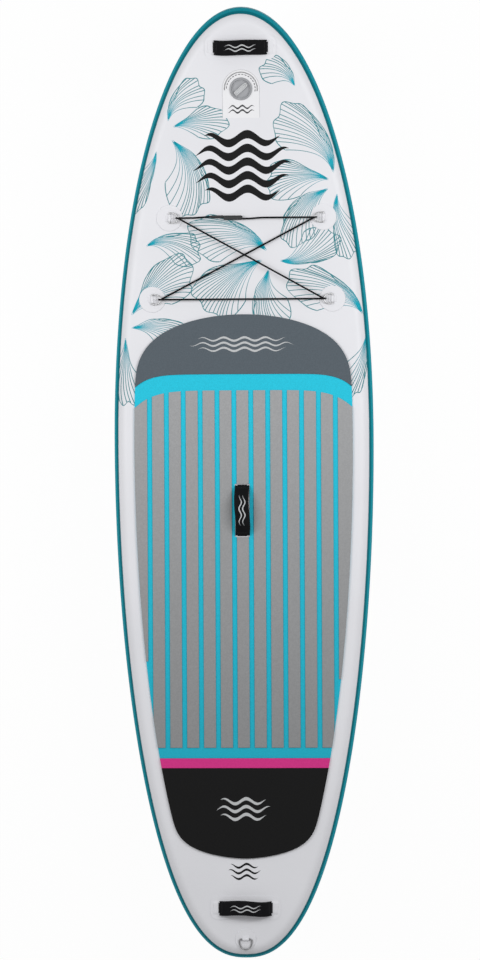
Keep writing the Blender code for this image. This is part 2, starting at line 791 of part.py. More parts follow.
def foot_span(reach):
    """From where to where a patch stands up over a foot of the strap."""
    return reach - STRAP_STEP[0] - SLOT_MARGIN, reach + STRAP_FOOT + SLOT_MARGIN


# Rings


BAR_HEIGHT = RING_PATCH + GAP + RING_WIRE / 2 + RING_PLAY


def ring_path(length, depth):
    """A D in its own XY plane: a straight bar along Y at X = 0 and a round side out to X."""
    half = (length - RING_WIRE) / 2
    reach = depth - RING_WIRE
    turn = [math.pi * k / 14 for k in range(15)]
    return [(reach * rounded(math.sin(a), 2.4), half * rounded(math.cos(a), 2.4), 0) for a in turn]


def draped_disc(x, station, radii, segments=20):
    """A round patch that follows the deck, in rings of these radii."""
    turn = [2 * math.pi * k / segments for k in range(segments)]
    rows = []
    for lift, order in ((SEAT_LIFT, radii), (SEAT_LIFT + RING_PATCH, radii[::-1])):
        for r in order:
            row = [(x + r * math.sin(a), station + r * math.cos(a)) for a in turn]
            rows.append([deck_point(*p, lift) for p in row])
    return loft(rows, "flat")


def ring_point(name, x, station, turn, patch_radii, length, depth, tilt):
    """A D-ring on a round patch, turned so that X points along the ring from its bar."""
    frame = deck_frame(x, station, patch_radii[0], turn)
    carrier = place(f"{name}_point", frame)
    patch = solid(f"{name}_patch", "white_pvc", draped_disc(x, station, patch_radii))
    hole = RING_WIRE / 2 + RING_PLAY
    shell = hole + LOOP_WALL
    turn = [math.pi * k / 8 for k in range(9)]
    outside = [(shell * math.cos(a), BAR_HEIGHT + shell * math.sin(a)) for a in turn]
    outside += [(-shell, RING_PATCH / 2), (shell, RING_PATCH / 2)]
    rings = [[(u, v, w) for u, w in outside] for v in (-LOOP_LENGTH / 2, LOOP_LENGTH / 2)]
    loop = solid(f"{name}_loop", "white_pvc", loft(rings, "flat"), carrier)
    combine(patch, "UNION", loop)
    turn = [2 * math.pi * k / 12 for k in range(12)]
    rings = [
        [(hole * math.cos(a), v, BAR_HEIGHT + hole * math.sin(a)) for a in turn]
        for v in (-LOOP_LENGTH, LOOP_LENGTH)
    ]
    bar_way = solid(f"{name}_bar_way", "white_pvc", loft(rings, "flat"), carrier)
    combine(patch, "DIFFERENCE", bar_way)

    axis = place(f"{name}_hinge", Matrix.Translation((0, 0, BAR_HEIGHT)), carrier)
    ring = wire(name, "stainless", ring_path(length, depth), RING_WIRE / 2, True, axis)
    ring.rotation_euler = (0, -tilt, 0)
    return frame


def ring_points():
    """The four lashing rings and the leash ring. Returns the frames of the four."""
    frames = {}
    for row, inset, margin, offset in (
        ("front", UPPER_RING_INSET, UPPER_RING_MARGIN, UPPER_RING_OFFSET),
        ("rear", LOWER_RING_INSET, LOWER_RING_MARGIN, LOWER_RING_OFFSET),
    ):
        station = NOSE_TIP - inset
        for side, sign, turn in (("left", -1, 0), ("right", 1, math.pi)):
            frames[row, side] = ring_point(
                f"lashing_ring_{row}_{side}",
                offset + sign * (half_width(station) - margin),
                station,
                turn,
                [LASHING_PATCH_RADIUS],
                RING_LENGTH,
                RING_DEPTH,
                LASHING_RING_TILT,
            )
    ring_point(
        "leash_ring",
        0,
        TAIL_TIP + LEASH_RING_INSET,
        -math.pi / 2,
        [LEASH_PATCH_RADIUS * share for share in (0.5, 0.75, 1)],
        LEASH_RING_LENGTH,
        LEASH_RING_DEPTH,
        LEASH_RING_TILT,
    )
    return frames


# Deck lashing


def round_ring(frame, over_first):
    """Five points of the cord where it turns back round the far side of a ring's wire."""
    reach = RING_DEPTH - RING_WIRE
    u = reach * math.cos(LASHING_RING_TILT)
    w = BAR_HEIGHT + reach * math.sin(LASHING_RING_TILT)
    radius = (RING_WIRE + CORD) / 2 + RING_PLAY
    turn = [math.radians(a) for a in (90, 135, 180, 225, 270)]
    points = [frame @ Vector((u + radius * math.cos(a), 0, w + radius * math.sin(a))) for a in turn]
    return points if over_first else points[::-1]


def lashing(frames):
    """One elastic cord: left along the front, down across the deck, along the rear and back up."""
    arrive = round_ring(frames["front", "left"], False)
    leave = round_ring(frames["front", "right"], False)
    run = (leave[-1] - arrive[0]).normalized()
    forward = Vector((0, 1, 0))
    up = run.cross(forward).normalized()
    across = up.cross(run)
    beside = (CORD + GAP) / 2

    def on_run(x, side):
        start = arrive[0] + run * ((x - arrive[0].x) / run.x)
        return start + across * (side * beside)

    path = [on_run(CORD_END_RIGHT, 1), on_run(SLEEVE_SPANS[0][0] - 0.01, 1), on_run(-0.15, 0)]
    path += arrive
    path += round_ring(frames["rear", "right"], True)
    path += round_ring(frames["rear", "left"], True)
    path += leave
    path += [on_run(0.06, 0), on_run(CORD_END_RIGHT + 0.02, -1), on_run(CORD_END_LEFT, -1)]
    wire("lashing_cord", "elastic", path, CORD / 2, False)

    # The right sleeve clamps both ends, and the left one holds the cord that runs on past it
    for name, (start, end), wall in zip(("left", "right"), SLEEVE_SPANS, SLEEVE_WALLS):
        side, half = (1, 0.0) if name == "left" else (0, beside)
        rings = []
        for grow in (CORD / 2 + GAP + wall, CORD / 2 + GAP):
            ends = [oval(on_run(x, side), across, up, half, grow) for x in (start, end)]
            rings += ends if not rings else ends[::-1]
        solid(f"lashing_sleeve_{name}", "sleeve_plastic", loft(rings, "loop"))


def oval(centre, across, up, beside, radius):
    """The outline round one cord, or round two that lie side by side."""
    ring = []
    for k in range(16):
        angle = 2 * math.pi * (k + 0.5) / 16
        wide = beside if math.cos(angle) > 0 else -beside
        ring.append(
            centre + across * (wide + radius * math.cos(angle)) + up * (radius * math.sin(angle))
        )
    return ring


# Inflation valve


def valve(core, skin):
    frame = deck_frame(0, NOSE_TIP - VALVE_INSET, FLANGE_RADIUS)
    carrier = place("valve", frame)
    tube = MOUTH_RADIUS + TUBE_WALL
    well = CAP_RADIUS + RING_PLAY
    ledge = GAP + FLANGE / 2
    web_top = -TUBE_DEPTH + 0.012
    web_low = web_top - 0.003
    hub = STEM_RADIUS + 0.0025
    bore = STEM_RADIUS + GAP
    body = solid(
        "valve_body",
        "valve_grey",
        turned(
            [
                (FLANGE_RADIUS, 0),
                (FLANGE_RADIUS, FLANGE * 0.6),
                (FLANGE_RADIUS - 0.0015, FLANGE),
                (well, FLANGE),
                (well, ledge),
                (MOUTH_RADIUS, ledge),
                (MOUTH_RADIUS, web_top),
                (hub, web_top),
                (hub, web_top + 0.003),
                (bore, web_top + 0.003),
                (bore, web_low),
                (MOUTH_RADIUS, web_low),
                (MOUTH_RADIUS, -TUBE_DEPTH),
                (tube, -TUBE_DEPTH),
                (tube, 0),
            ],
            24,
        ),
        carrier,
    )
    port = (MOUTH_RADIUS - hub) / 2
    for k in range(4):
        angle = math.pi * (k + 0.5) / 2
        centre = Vector((math.cos(angle), math.sin(angle), 0)) * (hub + port)
        hole = turned([(0, -0.01), (port * 0.72, -0.01), (port * 0.72, 0.01), (0, 0.01)], 10)
        moved = [Vector(p) + centre + Vector((0, 0, web_top)) for p in hole[0]]
        vent = solid(f"valve_vent_{k + 1}", "valve_grey", (moved, hole[1]), carrier)
        combine(body, "DIFFERENCE", vent)

    skin_hole = tube + SIDE_GAP
    nut_top = -SEAT_LIFT - SKIN - 3 * GAP
    nut_outer = skin_hole + NUT_WIDTH
    solid(
        "valve_nut",
        "valve_dark",
        turned(
            [
                (skin_hole, nut_top),
                (skin_hole, nut_top - NUT_HEIGHT),
                (nut_outer, nut_top - NUT_HEIGHT),
                (nut_outer, nut_top),
            ],
            24,
        ),
        carrier,
    )

    seal_top = -TUBE_DEPTH - GAP
    seal_low = seal_top - SEAL_THICKNESS
    stop = seal_low - GAP
    push = place("valve_push", Matrix.Translation((0, 0, seal_top)), carrier)
    outer = MOUTH_RADIUS + TUBE_WALL * 0.6
    solid(
        "valve_seal",
        "seal_rubber",
        turned(
            [(bore, 0), (bore, seal_low - seal_top), (outer, seal_low - seal_top), (outer, 0)], 24
        ),
        push,
    )
    button_top = -PLUG_DEPTH - 0.0015
    button_low = button_top - 0.004
    stem = [
        (0, button_top),
        (BUTTON_RADIUS - 0.001, button_top),
        (BUTTON_RADIUS, button_top - 0.001),
        (BUTTON_RADIUS, button_low),
        (STEM_RADIUS, button_low),
        (STEM_RADIUS, stop),
        (STEM_RADIUS * 2, stop),
        (STEM_RADIUS * 2, stop - 0.0025),
        (0, stop - 0.0025),
    ]
    shape = turned([(r, h - seal_top) for r, h in stem], 16)
    stem_axis = place("valve_stem_axis", Matrix(), push)
    solid("valve_stem", "valve_dark", shape, stem_axis)

    spring_radius = hub + SPRING_WIRE + 0.0008
    low, high = web_top + SPRING_WIRE / 2 + GAP, button_low - SPRING_WIRE / 2 - GAP
    steps = int(SPRING_TURNS * 10)
    coil = [
        (
            spring_radius * math.cos(2 * math.pi * k / 10),
            spring_radius * math.sin(2 * math.pi * k / 10),
            low + (high - low) * k / steps,
        )
        for k in range(steps + 1)
    ]
    spring = wire("valve_spring", "stainless", coil, SPRING_WIRE / 2, False, carrier)
    spring.data.bevel_resolution = 1

    lift = place("valve_cap_lift", Matrix.Translation((0, 0, ledge + GAP)), carrier)
    inner, outer = MOUTH_RADIUS + 0.002, CAP_RADIUS - 0.002
    solid(
        "valve_gasket",
        "seal_rubber",
        turned([(inner, 0), (outer, 0), (outer, GASKET), (inner, GASKET)], 24),
        lift,
    )
    under = GASKET + GAP
    plug = MOUTH_RADIUS - RING_PLAY
    plug_low = -ledge - GAP - PLUG_DEPTH
    spin = place("valve_cap_spin", Matrix(), lift)
    cap = solid(
        "valve_cap",
        "valve_grey",
        turned(
            [
                (0, plug_low),
                (plug - 0.001, plug_low),
                (plug, plug_low + 0.001),
                (plug, under),
                (CAP_RADIUS, under),
                (CAP_RADIUS, under + CAP_PLATE - 0.001),
                (CAP_RADIUS - 0.001, under + CAP_PLATE),
                (0, under + CAP_PLATE),
            ],
            24,
        ),
        spin,
    )
    length, width, height = CAP_BAR
    plate = under + CAP_PLATE
    bar = solid(
        "valve_cap_bar",
        "valve_grey",
        slab(length, width, plate - 0.001, plate + height, 20, 5.0),
        spin,
    )
    bar.rotation_euler = (0, 0, -CAP_BAR_TURN)
    combine(cap, "UNION", bar)

    hole = solid(
        "valve_skin_hole",
        "white_pvc",
        turned([(0, -0.01), (skin_hole, -0.01), (skin_hole, 0.01), (0, 0.01)], 24),
        carrier,
    )
    combine(skin, "DIFFERENCE", hole)
    depth = stop - 0.0025 - STEM_TRAVEL - POCKET_MARGIN
    wide = nut_outer + POCKET_MARGIN
    pocket = solid(
        "valve_pocket",
        "chamber_fabric",
        turned([(0, depth), (wide, depth), (wide, 0.01), (0, 0.01)], 24),
        carrier,
    )
    combine(core, "DIFFERENCE", pocket)


# Fins


def fin_ring(depth, middle, chord, thickness, power, shift=0.0):
    """A section of a fin: round at power 2, squarer above it, and thinner aft where it is round."""
    ring = []
    for k in range(16):
        angle = 2 * math.pi * k / 16
        taper = 1 - 0.4 * math.cos(angle) if power == 2 else 1.0
        ring.append(
            (
                shift + thickness / 2 * rounded(math.sin(angle), power) * taper,
                middle + chord / 2 * rounded(math.cos(angle), power),
                depth,
            )
        )
    return ring


def blade(root, depth, middle, chord, sweep, thickness, lean=0.0):
    """The sections of a swept blade from its root to its tip."""
    rings = []
    for share in (0, 0.15, 0.32, 0.5, 0.66, 0.8, 0.9, 0.96, 1.0):
        full = chord * (1 - 0.42 * share) * math.sqrt(1 - 0.98 * share**5)
        rings.append(
            fin_ring(
                root + depth * share,
                middle + sweep * share**1.5,
                full,
                thickness * (1 - 0.6 * share),
                2,
                depth * share * math.tan(lean),
            )
        )
    return rings


def fin_box(carrier):
    """A glued-on box with a channel that is open below and grooved on both sides."""
    length, width, flange = BOX_FLANGE
    box = solid("fin_box", "fin_black", slab(length, width, GAP, GAP + flange, 24, 3.0), carrier)
    block_shape = slab(BOX_LENGTH, BOX_WIDTH, GAP + flange / 2, BOX_MOUTH, 24, 5.0)
    body = solid("fin_box_body", "fin_black", block_shape, carrier)
    combine(box, "UNION", body)
    top = BOX_MOUTH - CHANNEL_DEPTH
    low = BOX_MOUTH + CHANNEL_DEPTH
    channel = solid(
        "fin_channel",
        "fin_black",
        block((CHANNEL_WIDTH, CHANNEL_LENGTH, low - top), (0, 0, (low + top) / 2)),
        carrier,
    )
    combine(box, "DIFFERENCE", channel)
    groove = solid(
        "fin_groove",
        "fin_black",
        block(
            (CHANNEL_WIDTH + 2 * GROOVE_SIDE, CHANNEL_LENGTH - SIDE_GAP, GROOVE_HEIGHT),
            (0, 0, BOX_MOUTH - GROOVE_FROM_MOUTH),
        ),
        carrier,
    )
    combine(box, "DIFFERENCE", groove)
    # The pin and the plate drop into the groove through a wider place at the front
    entry = solid(
        "fin_box_entry",
        "fin_black",
        block(
            (CHANNEL_WIDTH + 2 * GROOVE_SIDE, ENTRY_LENGTH, 2 * GROOVE_FROM_MOUTH),
            (0, (ENTRY_LENGTH - CHANNEL_LENGTH) / 2 + GROOVE_SIDE, BOX_MOUTH),
        ),
        carrier,
    )
    combine(box, "DIFFERENCE", entry)


def centre_fin(carrier):
    """The fin stands in the channel on its tab. A pin holds it aft and a screw ahead."""
    groove = BOX_MOUTH - GROOVE_FROM_MOUTH
    tab_thick = CHANNEL_WIDTH - 2 * FIN_PLAY
    foot = TAB_LENGTH + TONGUE_LENGTH
    tab_middle = foot / 2 - TAB_LENGTH / 2
    tab_top = BOX_MOUTH - CHANNEL_DEPTH + 3 * FIN_PLAY
    slide = place("fin_slide", Matrix(), carrier)
    rings = [
        fin_ring(tab_top, tab_middle, TAB_LENGTH, tab_thick, 12),
        fin_ring(BOX_MOUTH, tab_middle, TAB_LENGTH, tab_thick, 12),
    ]
    root = BOX_MOUTH + SIDE_GAP
    rings += blade(root, FIN_DEPTH, FIN_MIDDLE, FIN_CHORD, FIN_SWEEP, FIN_THICKNESS)
    fin = solid("centre_fin", "fin_black", loft(rings, "flat"), slide)
    tongue_middle = -foot / 2 + TONGUE_LENGTH / 2
    tongue = solid(
        "fin_tongue",
        "fin_black",
        block(
            (tab_thick, TONGUE_LENGTH + 2 * FIN_PLAY, TONGUE_HEIGHT),
            (0, tongue_middle + FIN_PLAY, BOX_MOUTH - TONGUE_HEIGHT / 2),
        ),
        slide,
    )
    combine(fin, "UNION", tongue)

    pin_radius = GROOVE_HEIGHT / 2 - GAP
    pin_aft = foot / 2 - 0.012
    span = CHANNEL_WIDTH + 2 * GROOVE_SIDE - 2 * FIN_PLAY
    turn = [2 * math.pi * k / 12 for k in range(12)]

    def rod(radius, length):
        return loft(
            [
                [(x, pin_aft + radius * math.cos(a), groove + radius * math.sin(a)) for a in turn]
                for x in (-length / 2, length / 2)
            ],
            "flat",
        )

    solid("fin_pin", "brass", rod(pin_radius, span), slide)
    pin_way = solid("fin_pin_way", "fin_black", rod(pin_radius + GAP, 2 * span), slide)
    combine(fin, "DIFFERENCE", pin_way)

    screw_aft = tongue_middle
    plate_half = (GROOVE_HEIGHT - 2 * GAP) / 2
    way = SCREW_RADIUS + GAP
    plate = solid(
        "fin_plate_nut",
        "brass",
        block((span, PLATE_LENGTH, 2 * plate_half), (0, screw_aft, groove)),
        slide,
    )
    screw_axis = place("fin_screw_axis", Matrix.Translation((0, screw_aft, BOX_MOUTH)), slide)
    hole = solid(
        "fin_screw_way",
        "brass",
        turned([(0, -CHANNEL_DEPTH), (way, -CHANNEL_DEPTH), (way, 0.01), (0, 0.01)], 14),
        screw_axis,
    )
    combine(plate, "DIFFERENCE", hole)
    combine(fin, "DIFFERENCE", hole)
    head, tall = SCREW_HEAD
    shank_top = -GROOVE_FROM_MOUTH - plate_half - 0.002
    solid(
        "fin_thumb_screw",
        "stainless",
        turned(
            [
                (0, shank_top),
                (SCREW_RADIUS, shank_top),
                (SCREW_RADIUS, SIDE_GAP),
                (head - 0.001, SIDE_GAP),
                (head, SIDE_GAP + 0.001),
                (head, tall - 0.001),
                (head - 0.001, tall),
                (0, tall),
            ],
            16,
        ),
        screw_axis,
    )


def side_fins():
    """Two flexible fins with flanges, glued to the bottom and leaning outward."""
    length, width, flange = SIDE_FIN_FLANGE
    for name, side in (("left", -1), ("right", 1)):
        frame = bottom_frame(side * SIDE_FIN_SPREAD / 2, TAIL_TIP + SIDE_FIN_INSET)
        carrier = place(f"side_fin_{name}_frame", frame)
        rings = [
            fin_ring(GAP, 0, length, width, 3),
            fin_ring(GAP + flange, 0, length, width * 0.94, 3),
            fin_ring(GAP + flange * 1.4, 0, SIDE_FIN_CHORD * 1.08, SIDE_FIN_THICKNESS * 1.7, 3),
        ]
        rings += blade(
            GAP + flange * 2.4,
            SIDE_FIN_DEPTH,
            0.0,
            SIDE_FIN_CHORD,
            SIDE_FIN_SWEEP,
            SIDE_FIN_THICKNESS,
            side * SIDE_FIN_LEAN,
        )
        solid(f"side_fin_{name}", "fin_black", loft(rings, "flat"), carrier)


def build():
    clear_scene()
    core, deck = hull_pieces()
    deck_pad()
    handles()
    lashing(ring_points())
    valve(core, deck)
    carrier = place("fin_frame", bottom_frame(0, FIN_STATION))
    fin_box(carrier)
    centre_fin(carrier)
    side_fins()


build()
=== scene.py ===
# %% [markdown]
# # An inflatable paddle board, dressed for the camera
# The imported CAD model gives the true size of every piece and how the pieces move. This lesson
# lays fine surfaces, prints, foam, cord and stitching over it, one step at a time. The board lies
# deck up with its nose away from us, so +Y is the nose and +Z is up, in metres.

import json
import math

import bmesh
import bpy
import numpy as np
from mathutils import Matrix, Quaternion, Vector
from mathutils.bvhtree import BVHTree


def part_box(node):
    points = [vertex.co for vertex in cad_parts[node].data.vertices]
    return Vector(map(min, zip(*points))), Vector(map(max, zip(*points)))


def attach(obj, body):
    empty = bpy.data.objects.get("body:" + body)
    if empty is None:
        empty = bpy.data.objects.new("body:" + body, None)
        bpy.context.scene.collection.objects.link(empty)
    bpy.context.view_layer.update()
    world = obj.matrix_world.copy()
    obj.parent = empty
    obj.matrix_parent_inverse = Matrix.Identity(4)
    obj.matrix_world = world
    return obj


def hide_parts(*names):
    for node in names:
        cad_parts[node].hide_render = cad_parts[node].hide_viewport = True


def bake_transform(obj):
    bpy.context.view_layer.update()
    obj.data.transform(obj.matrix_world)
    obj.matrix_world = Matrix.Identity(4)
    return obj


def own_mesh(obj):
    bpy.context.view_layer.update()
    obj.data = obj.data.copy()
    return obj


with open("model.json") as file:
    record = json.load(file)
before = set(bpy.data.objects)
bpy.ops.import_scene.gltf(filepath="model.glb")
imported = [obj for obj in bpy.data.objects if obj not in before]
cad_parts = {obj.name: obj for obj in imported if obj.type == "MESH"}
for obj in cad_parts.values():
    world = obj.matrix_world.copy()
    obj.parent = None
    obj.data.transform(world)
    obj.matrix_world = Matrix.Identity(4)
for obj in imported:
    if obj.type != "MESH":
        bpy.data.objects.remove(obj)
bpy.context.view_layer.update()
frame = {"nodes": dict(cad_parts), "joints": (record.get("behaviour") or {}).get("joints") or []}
joints = {joint["name"]: joint for joint in frame["joints"]}

# %% [markdown]
# ## Camera
# The photograph was taken from high above, nearly square on. A long lens 7 m over the deck gives
# the same slight perspective, and the small sideways shift and roll come from the photograph too.
# The camera is built from its three axes, because a tracking constraint would lose the roll.

# %% Camera
DECK_LEVEL = 0.34553
METRES_PER_PIXEL = 0.0030663
AIM_PIXELS = (-3.694, 7.2)
CAMERA_HEIGHT, CAMERA_SHIFT = 7.0, (0.19, 0.022)
CAMERA_ROLL, VIEW_ANGLE, SENSOR = -0.28, 23.75, 24
aim = Vector((AIM_PIXELS[0] * METRES_PER_PIXEL, AIM_PIXELS[1] * METRES_PER_PIXEL, DECK_LEVEL))
eye = Vector((aim.x + CAMERA_SHIFT[0], CAMERA_SHIFT[1], DECK_LEVEL + CAMERA_HEIGHT))
back = (eye - aim).normalized()
right = Vector((0, 1, 0)).cross(back).normalized()
axes = Matrix((right, back.cross(right), back)).transposed()


def placed(name, data):
    """A new object with this data, linked into the scene."""
    made = bpy.data.objects.new(name, data)
    bpy.context.scene.collection.objects.link(made)
    return made


camera = placed("camera", bpy.data.cameras.new("camera"))
bpy.context.scene.camera = camera
camera.location = eye
camera.rotation_mode = "QUATERNION"
roll = Quaternion((0, 0, 1), math.radians(CAMERA_ROLL))
camera.rotation_quaternion = axes.to_quaternion() @ roll
camera.data.sensor_fit = "VERTICAL"
camera.data.sensor_height = SENSOR
camera.data.lens = SENSOR / 2 / math.tan(math.radians(VIEW_ANGLE / 2))
camera.data.clip_end = 100
bpy.context.scene.view_settings.view_transform = "Standard"
print("camera at", [round(v, 3) for v in eye])

# %% [markdown]
# ## Node wiring as plain arithmetic
# Materials and Geometry Nodes are both node trees. One class makes any node in a single call, and
# a second one stands for an output socket whose operators add Math nodes, so that a pattern reads
# as a formula.


# %% Sockets as numbers
class Wire:
    """One output of a node. Arithmetic on it adds Math nodes."""

    def __init__(self, nodes, socket):
        self.nodes = nodes
        self.socket = socket

    def math(self, operation, *others):
        inputs = dict(enumerate((self, *others)))
        return self.nodes.node("ShaderNodeMath", inputs, operation=operation)

    def beside(self, name):
        """Another output of the same node."""
        return Wire(self.nodes, self.socket.node.outputs[name])

    def __add__(self, other):
        return self.math("ADD", other)

    def __sub__(self, other):
        return self.math("SUBTRACT", other)

    def __rsub__(self, other):
        return self.nodes.node("ShaderNodeMath", {0: other, 1: self}, operation="SUBTRACT")

    def __mul__(self, other):
        return self.math("MULTIPLY", other)

    def __truediv__(self, other):
        return self.math("DIVIDE", other)

    def __pow__(self, other):
        return self.math("POWER", other)

    __radd__ = __add__
    __rmul__ = __mul__


class Nodes:
    """A node tree, and one method that adds any node to it."""

    def __init__(self, tree):
        self.tree = tree

    def node(self, kind, inputs=None, out=0, **settings):
        """Adds a node: first its settings, then a value, a wire or several wires for each input."""
        made = self.tree.nodes.new(kind)
        for key, value in settings.items():
            if key == "stops":
                self.set_stops(made.color_ramp, value)
            else:
                setattr(made, key, value)
        for key, given in (inputs or {}).items():
            values = given if isinstance(given, list) else [given]
            for value in values:
                if isinstance(value, Wire):
                    self.tree.links.new(value.socket, made.inputs[key])
                else:
                    made.inputs[key].default_value = value
        return Wire(self, made.outputs[out]) if made.outputs else None

    def set_stops(self, ramp, stops):
        while len(ramp.elements) < len(stops):
            ramp.elements.new(0.5)
        for element, (place, level) in zip(ramp.elements, stops):
            element.position = place
            element.color = (level, level, level, 1)


# %% [markdown]
# ## A finish
# Each finish starts from plain constants on the shader's own sockets. Only what changes over the
# surface is linked: colour, roughness and a bump height. Patterns read Object coordinates, which
# are metres here, so a noise scale of 900 means a grain of about a millimetre.


# %% Finish class
class Finish(Nodes):
    """A material with a Principled shader, and patterns at true scale."""

    def __init__(self, name, color, roughness, metallic=0.0, **levels):
        self.material = bpy.data.materials.new(name)
        self.material.use_nodes = True
        super().__init__(self.material.node_tree)
        self.shader = self.tree.nodes["Principled BSDF"]
        self.color = (*color, 1.0)
        plain = {"Base Color": self.color, "Roughness": roughness, "Metallic": metallic}
        plain.update({key.replace("_", " "): value for key, value in levels.items()})
        for key, value in plain.items():
            self.shader.inputs[key].default_value = value
        self.place = self.node("ShaderNodeTexCoord", out="Object")

    def noise(self, scale, detail=2.0):
        inputs = {"Vector": self.place, "Scale": scale, "Detail": detail}
        return self.node("ShaderNodeTexNoise", inputs)

    def axis(self, name, coords=None):
        parts = {"Vector": coords or self.place}
        return self.node("ShaderNodeSeparateXYZ", parts, out="XYZ".index(name))

    def rows(self, name, pitch, coords=None):
        """A sine wave along one axis that repeats at this pitch."""
        return (self.axis(name, coords) * (2 * math.pi / pitch)).math("SINE")

    def surface_map(self):
        """The piece's own map of its surface, in metres along and round it."""
        return self.node("ShaderNodeUVMap", uv_map="surface")

    def attribute(self, name):
        return self.node("ShaderNodeAttribute", out="Fac", attribute_name=name)

    def ramp(self, value, *stops):
        return self.node("ShaderNodeValToRGB", {"Fac": value}, stops=stops)

    def mixed(self, first, second, share):
        inputs = {0: share, 6: first, 7: second}
        return self.node("ShaderNodeMix", inputs, out=2, data_type="RGBA")

    def shaded(self, share, factor):
        """The finish's own colour, and a darker or lighter one of it where share is 1."""
        other = tuple(min(1.0, c * factor) for c in self.color[:3]) + (1.0,)
        return self.mixed(self.color, other, share)

    def feed(self, color=None, roughness=None, height=None, depth=0.001, strength=1.0):
        for key, value in (("Base Color", color), ("Roughness", roughness)):
            if value is not None:
                self.tree.links.new(value.socket, self.shader.inputs[key])
        if height is not None:
            inputs = {"Strength": strength, "Distance": depth, "Height": height}
            bumped = self.node("ShaderNodeBump", inputs)
            self.tree.links.new(bumped.socket, self.shader.inputs["Normal"])
        return self.material


# %% [markdown]
# ## Coated fabric
# The hull is woven polyester with a satin PVC coat. Thousands of threads inside hold the two faces
# apart, and each row of them leaves a faint dimple in the coat. Two crossed sine waves make the
# dimples and a fine noise the grain. The colour only wavers a little, as on a wiped-down board.


# %% PVC finishes
DIMPLE_PITCH = 0.0085


def coated_fabric(name, color, roughness=0.42):
    made = Finish(name, color, roughness, Specular_IOR_Level=0.28)
    dimples = made.rows("X", DIMPLE_PITCH) * made.rows("Y", DIMPLE_PITCH) * 0.35
    grain = made.noise(1100.0)
    cloud = made.ramp(made.noise(3.5, 3.0), (0.35, 0.0), (0.75, 1.0))
    rough = made.noise(40.0) * 0.10 + (roughness - 0.05)
    return made.feed(made.shaded(cloud, 0.965), rough, dimples + grain * 0.5, 0.00012, 0.6)


white_fabric = coated_fabric("white_fabric", (0.755, 0.757, 0.79))
label_white = coated_fabric("label_white", (0.80, 0.80, 0.82), 0.5)
print("fabric finishes", white_fabric.name, label_white.name)

# %% [markdown]
# The rail carries a printed magenta panel near the tail on both sides. A mask on the Y coordinate
# with soft ends paints it. The tapes over the seams are teal, with painted shade darkening the edge
# where each tape meets the flat face of the hull, which a second mask on the tape's own attribute
# does: 0 at the deck edge and 1 at the rail edge.


# %% Rail and tape finishes
def rail_finish():
    made = Finish("rail_fabric", (0.70, 0.70, 0.73), 0.42, Specular_IOR_Level=0.4)
    along = made.axis("Y")
    panel = made.ramp(along + 1.5, (0.385, 0.0), (0.392, 1.0), (0.668, 1.0), (0.675, 0.0))
    magenta = made.mixed(made.color, (0.50, 0.03, 0.17, 1), panel)
    return made.feed(magenta, None, made.noise(1100.0), 0.00008, 0.5)


def tape_finish():
    made = Finish("seam_tape", (0.002, 0.285, 0.36), 0.60, Specular_IOR_Level=0.04)
    # Painted shade: the band along the tape's inner edge, where it meets the flat face, is darkened
    edge = made.ramp(made.attribute("across"), (0.0, 1.0), (0.16, 0.85), (0.24, 0.0), (1.0, 0.0))
    weave = made.noise(900.0)
    return made.feed(made.shaded(edge, 0.52), None, weave, 0.00008, 0.5)


rail_fabric = rail_finish()
seam_tape = tape_finish()
print("rail and tape finishes", rail_fabric.name, seam_tape.name)

# %% [markdown]
# ## Deck foam
# The pad is closed-cell EVA foam with a brushed face. Brushing opens the cells to a fine, slightly
# mottled nap with almost no gloss. The colour follows the Y coordinate slowly and darkens towards
# the tail: painted shade for the light that falls off there.


# %% Foam finishes
def brushed_foam(name, color, wear_and_painted_shade=0.8):
    made = Finish(name, color, 0.88, Specular_IOR_Level=0.12)
    cells = made.noise(1500.0, 3.0)
    mottle = made.ramp(made.noise(260.0, 4.0), (0.38, 0.0), (0.62, 1.0))
    # Painted shade: the colour darkens towards the tail, where the light falls off
    tail_shade_mask = made.ramp(made.axis("Y") * -0.55 + 0.25, (0.05, 0.0), (0.95, 1.0))
    shaded_to_tail = made.mixed(made.color, tuple(c * wear_and_painted_shade for c in made.color[:3]) + (1,), tail_shade_mask)
    speck = made.mixed(shaded_to_tail, made.mixed(shaded_to_tail, (0.0, 0.0, 0.0, 1), 0.10), mottle)
    return made.feed(speck, None, cells + mottle * 0.5, 0.00025, 0.8)


slate_foam = brushed_foam("slate_foam", (0.102, 0.124, 0.144), 0.95)
cyan_foam = brushed_foam("cyan_foam", (0.026, 0.575, 0.76), 0.68)
grey_foam = brushed_foam("grey_foam", (0.375, 0.380, 0.388), 0.62)
magenta_foam = brushed_foam("magenta_foam", (0.70, 0.042, 0.26), 0.95)
black_foam = brushed_foam("black_foam", (0.0090, 0.0090, 0.0092), 0.95)
print("foam finishes ready")


# %% [markdown]
# ## Webbing, neoprene and cord
# A weave is a small checker of raised threads. On straps and grips the surface coordinates come
# from their own UV map in metres, so the threads follow the bend of each piece. Neoprene has a
# knitted face with a fine pebble. The lashing cord has a braided cover, drawn as two crossing
# sets of slanted ridges.


# %% Textile finishes
THREAD, CORD_GIRTH, BRAID_STRANDS = 0.0011, 0.0173, 16


def woven(name, color):
    made = Finish(name, color, 0.78, Specular_IOR_Level=0.2)
    coords = made.surface_map()
    warp, weft = (made.rows(axis, 2 * THREAD, coords) for axis in "XY")
    threads = (warp * weft).math("ABSOLUTE") ** 0.6
    # Painted shade: the gaps between the raised threads are darkened
    return made.feed(made.shaded(1.0 - threads, 0.55), None, threads, 0.0003, 0.9)


def knitted(name, color):
    made = Finish(name, color, 0.72, Specular_IOR_Level=0.05)
    knit = {"Vector": made.surface_map(), "Scale": 900.0}
    cells = made.node("ShaderNodeTexVoronoi", knit, feature="F1")
    faded = made.ramp(made.noise(35.0, 3.0), (0.45, 0.0), (0.8, 1.0))
    return made.feed(made.shaded(faded, 1.5), None, 1.0 - cells, 0.00025, 0.7)


